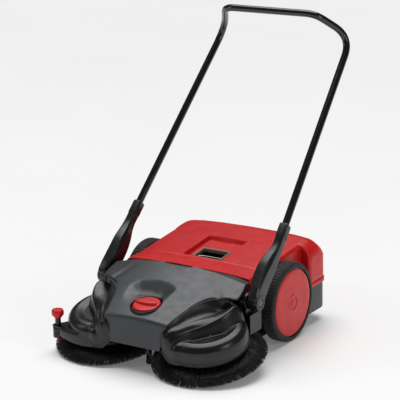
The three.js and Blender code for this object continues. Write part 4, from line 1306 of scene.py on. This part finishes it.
class SWEEPER_OT_handle(bpy.types.Operator):
    """Builds the push handle and its sockets"""

    bl_idname = "sweeper.handle"
    bl_label = "Handle"
    bl_options = {"REGISTER", "UNDO"}

    def execute(self, context):
        build_handle(context.scene.sweeper)
        for name, side in SIDES.items():
            build_socket(name, side)
        return {"FINISHED"}


class SWEEPER_OT_controls(bpy.types.Operator):
    """Builds the height knob, the guide roller and the press knob"""

    bl_idname = "sweeper.controls"
    bl_label = "Knob and Guide"
    bl_options = {"REGISTER", "UNDO"}

    def execute(self, context):
        build_knob()
        build_guide()
        return {"FINISHED"}


class SWEEPER_OT_hopper(bpy.types.Operator):
    """Builds the hopper's cover, grip frame and tub"""

    bl_idname = "sweeper.hopper"
    bl_label = "Hopper"
    bl_options = {"REGISTER", "UNDO"}

    def execute(self, context):
        build_cover(context.scene.sweeper)
        build_lip()
        build_rim()
        build_tub()
        return {"FINISHED"}


class SWEEPER_OT_chassis(bpy.types.Operator):
    """Builds the chassis with its moulded edges"""

    bl_idname = "sweeper.chassis"
    bl_label = "Chassis"
    bl_options = {"REGISTER", "UNDO"}

    def execute(self, context):
        from_node("chassis_frame", "chassis_body", "black_plastic", context.scene.sweeper.soft_edge)
        return {"FINISHED"}


# In the order that they run.
OPERATORS = [SWEEPER_OT_surfaces, SWEEPER_OT_stage, SWEEPER_OT_hood, SWEEPER_OT_guards,
             SWEEPER_OT_brushes, SWEEPER_OT_wheels, SWEEPER_OT_handle, SWEEPER_OT_controls,
             SWEEPER_OT_hopper, SWEEPER_OT_chassis]


class SWEEPER_PT_build(bpy.types.Panel):
    """Lists the settings, then the builders in order"""

    bl_label = "Push Sweeper"
    bl_space_type = "VIEW_3D"
    bl_region_type = "UI"
    bl_category = "Sweeper"

    def draw(self, context):
        for name in SweeperSettings.__annotations__:
            self.layout.prop(context.scene.sweeper, name)
        for operator in OPERATORS:
            self.layout.operator(operator.bl_idname)


CLASSES = [SweeperSettings, *OPERATORS, SWEEPER_PT_build]


def register():
    """Registers the classes and puts the settings on the scene."""
    for item in CLASSES:
        bpy.utils.register_class(item)
    bpy.types.Scene.sweeper = PointerProperty(type=SweeperSettings)


def unregister():
    """Takes the settings off the scene and unregisters the classes."""
    del bpy.types.Scene.sweeper
    for item in reversed(CLASSES):
        bpy.utils.unregister_class(item)


def main():
    """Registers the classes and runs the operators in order."""
    register()
    for operator in OPERATORS:
        run = getattr(bpy.ops.sweeper, operator.bl_idname.removeprefix("sweeper."))
        run()


if __name__ == "__main__":
    main()
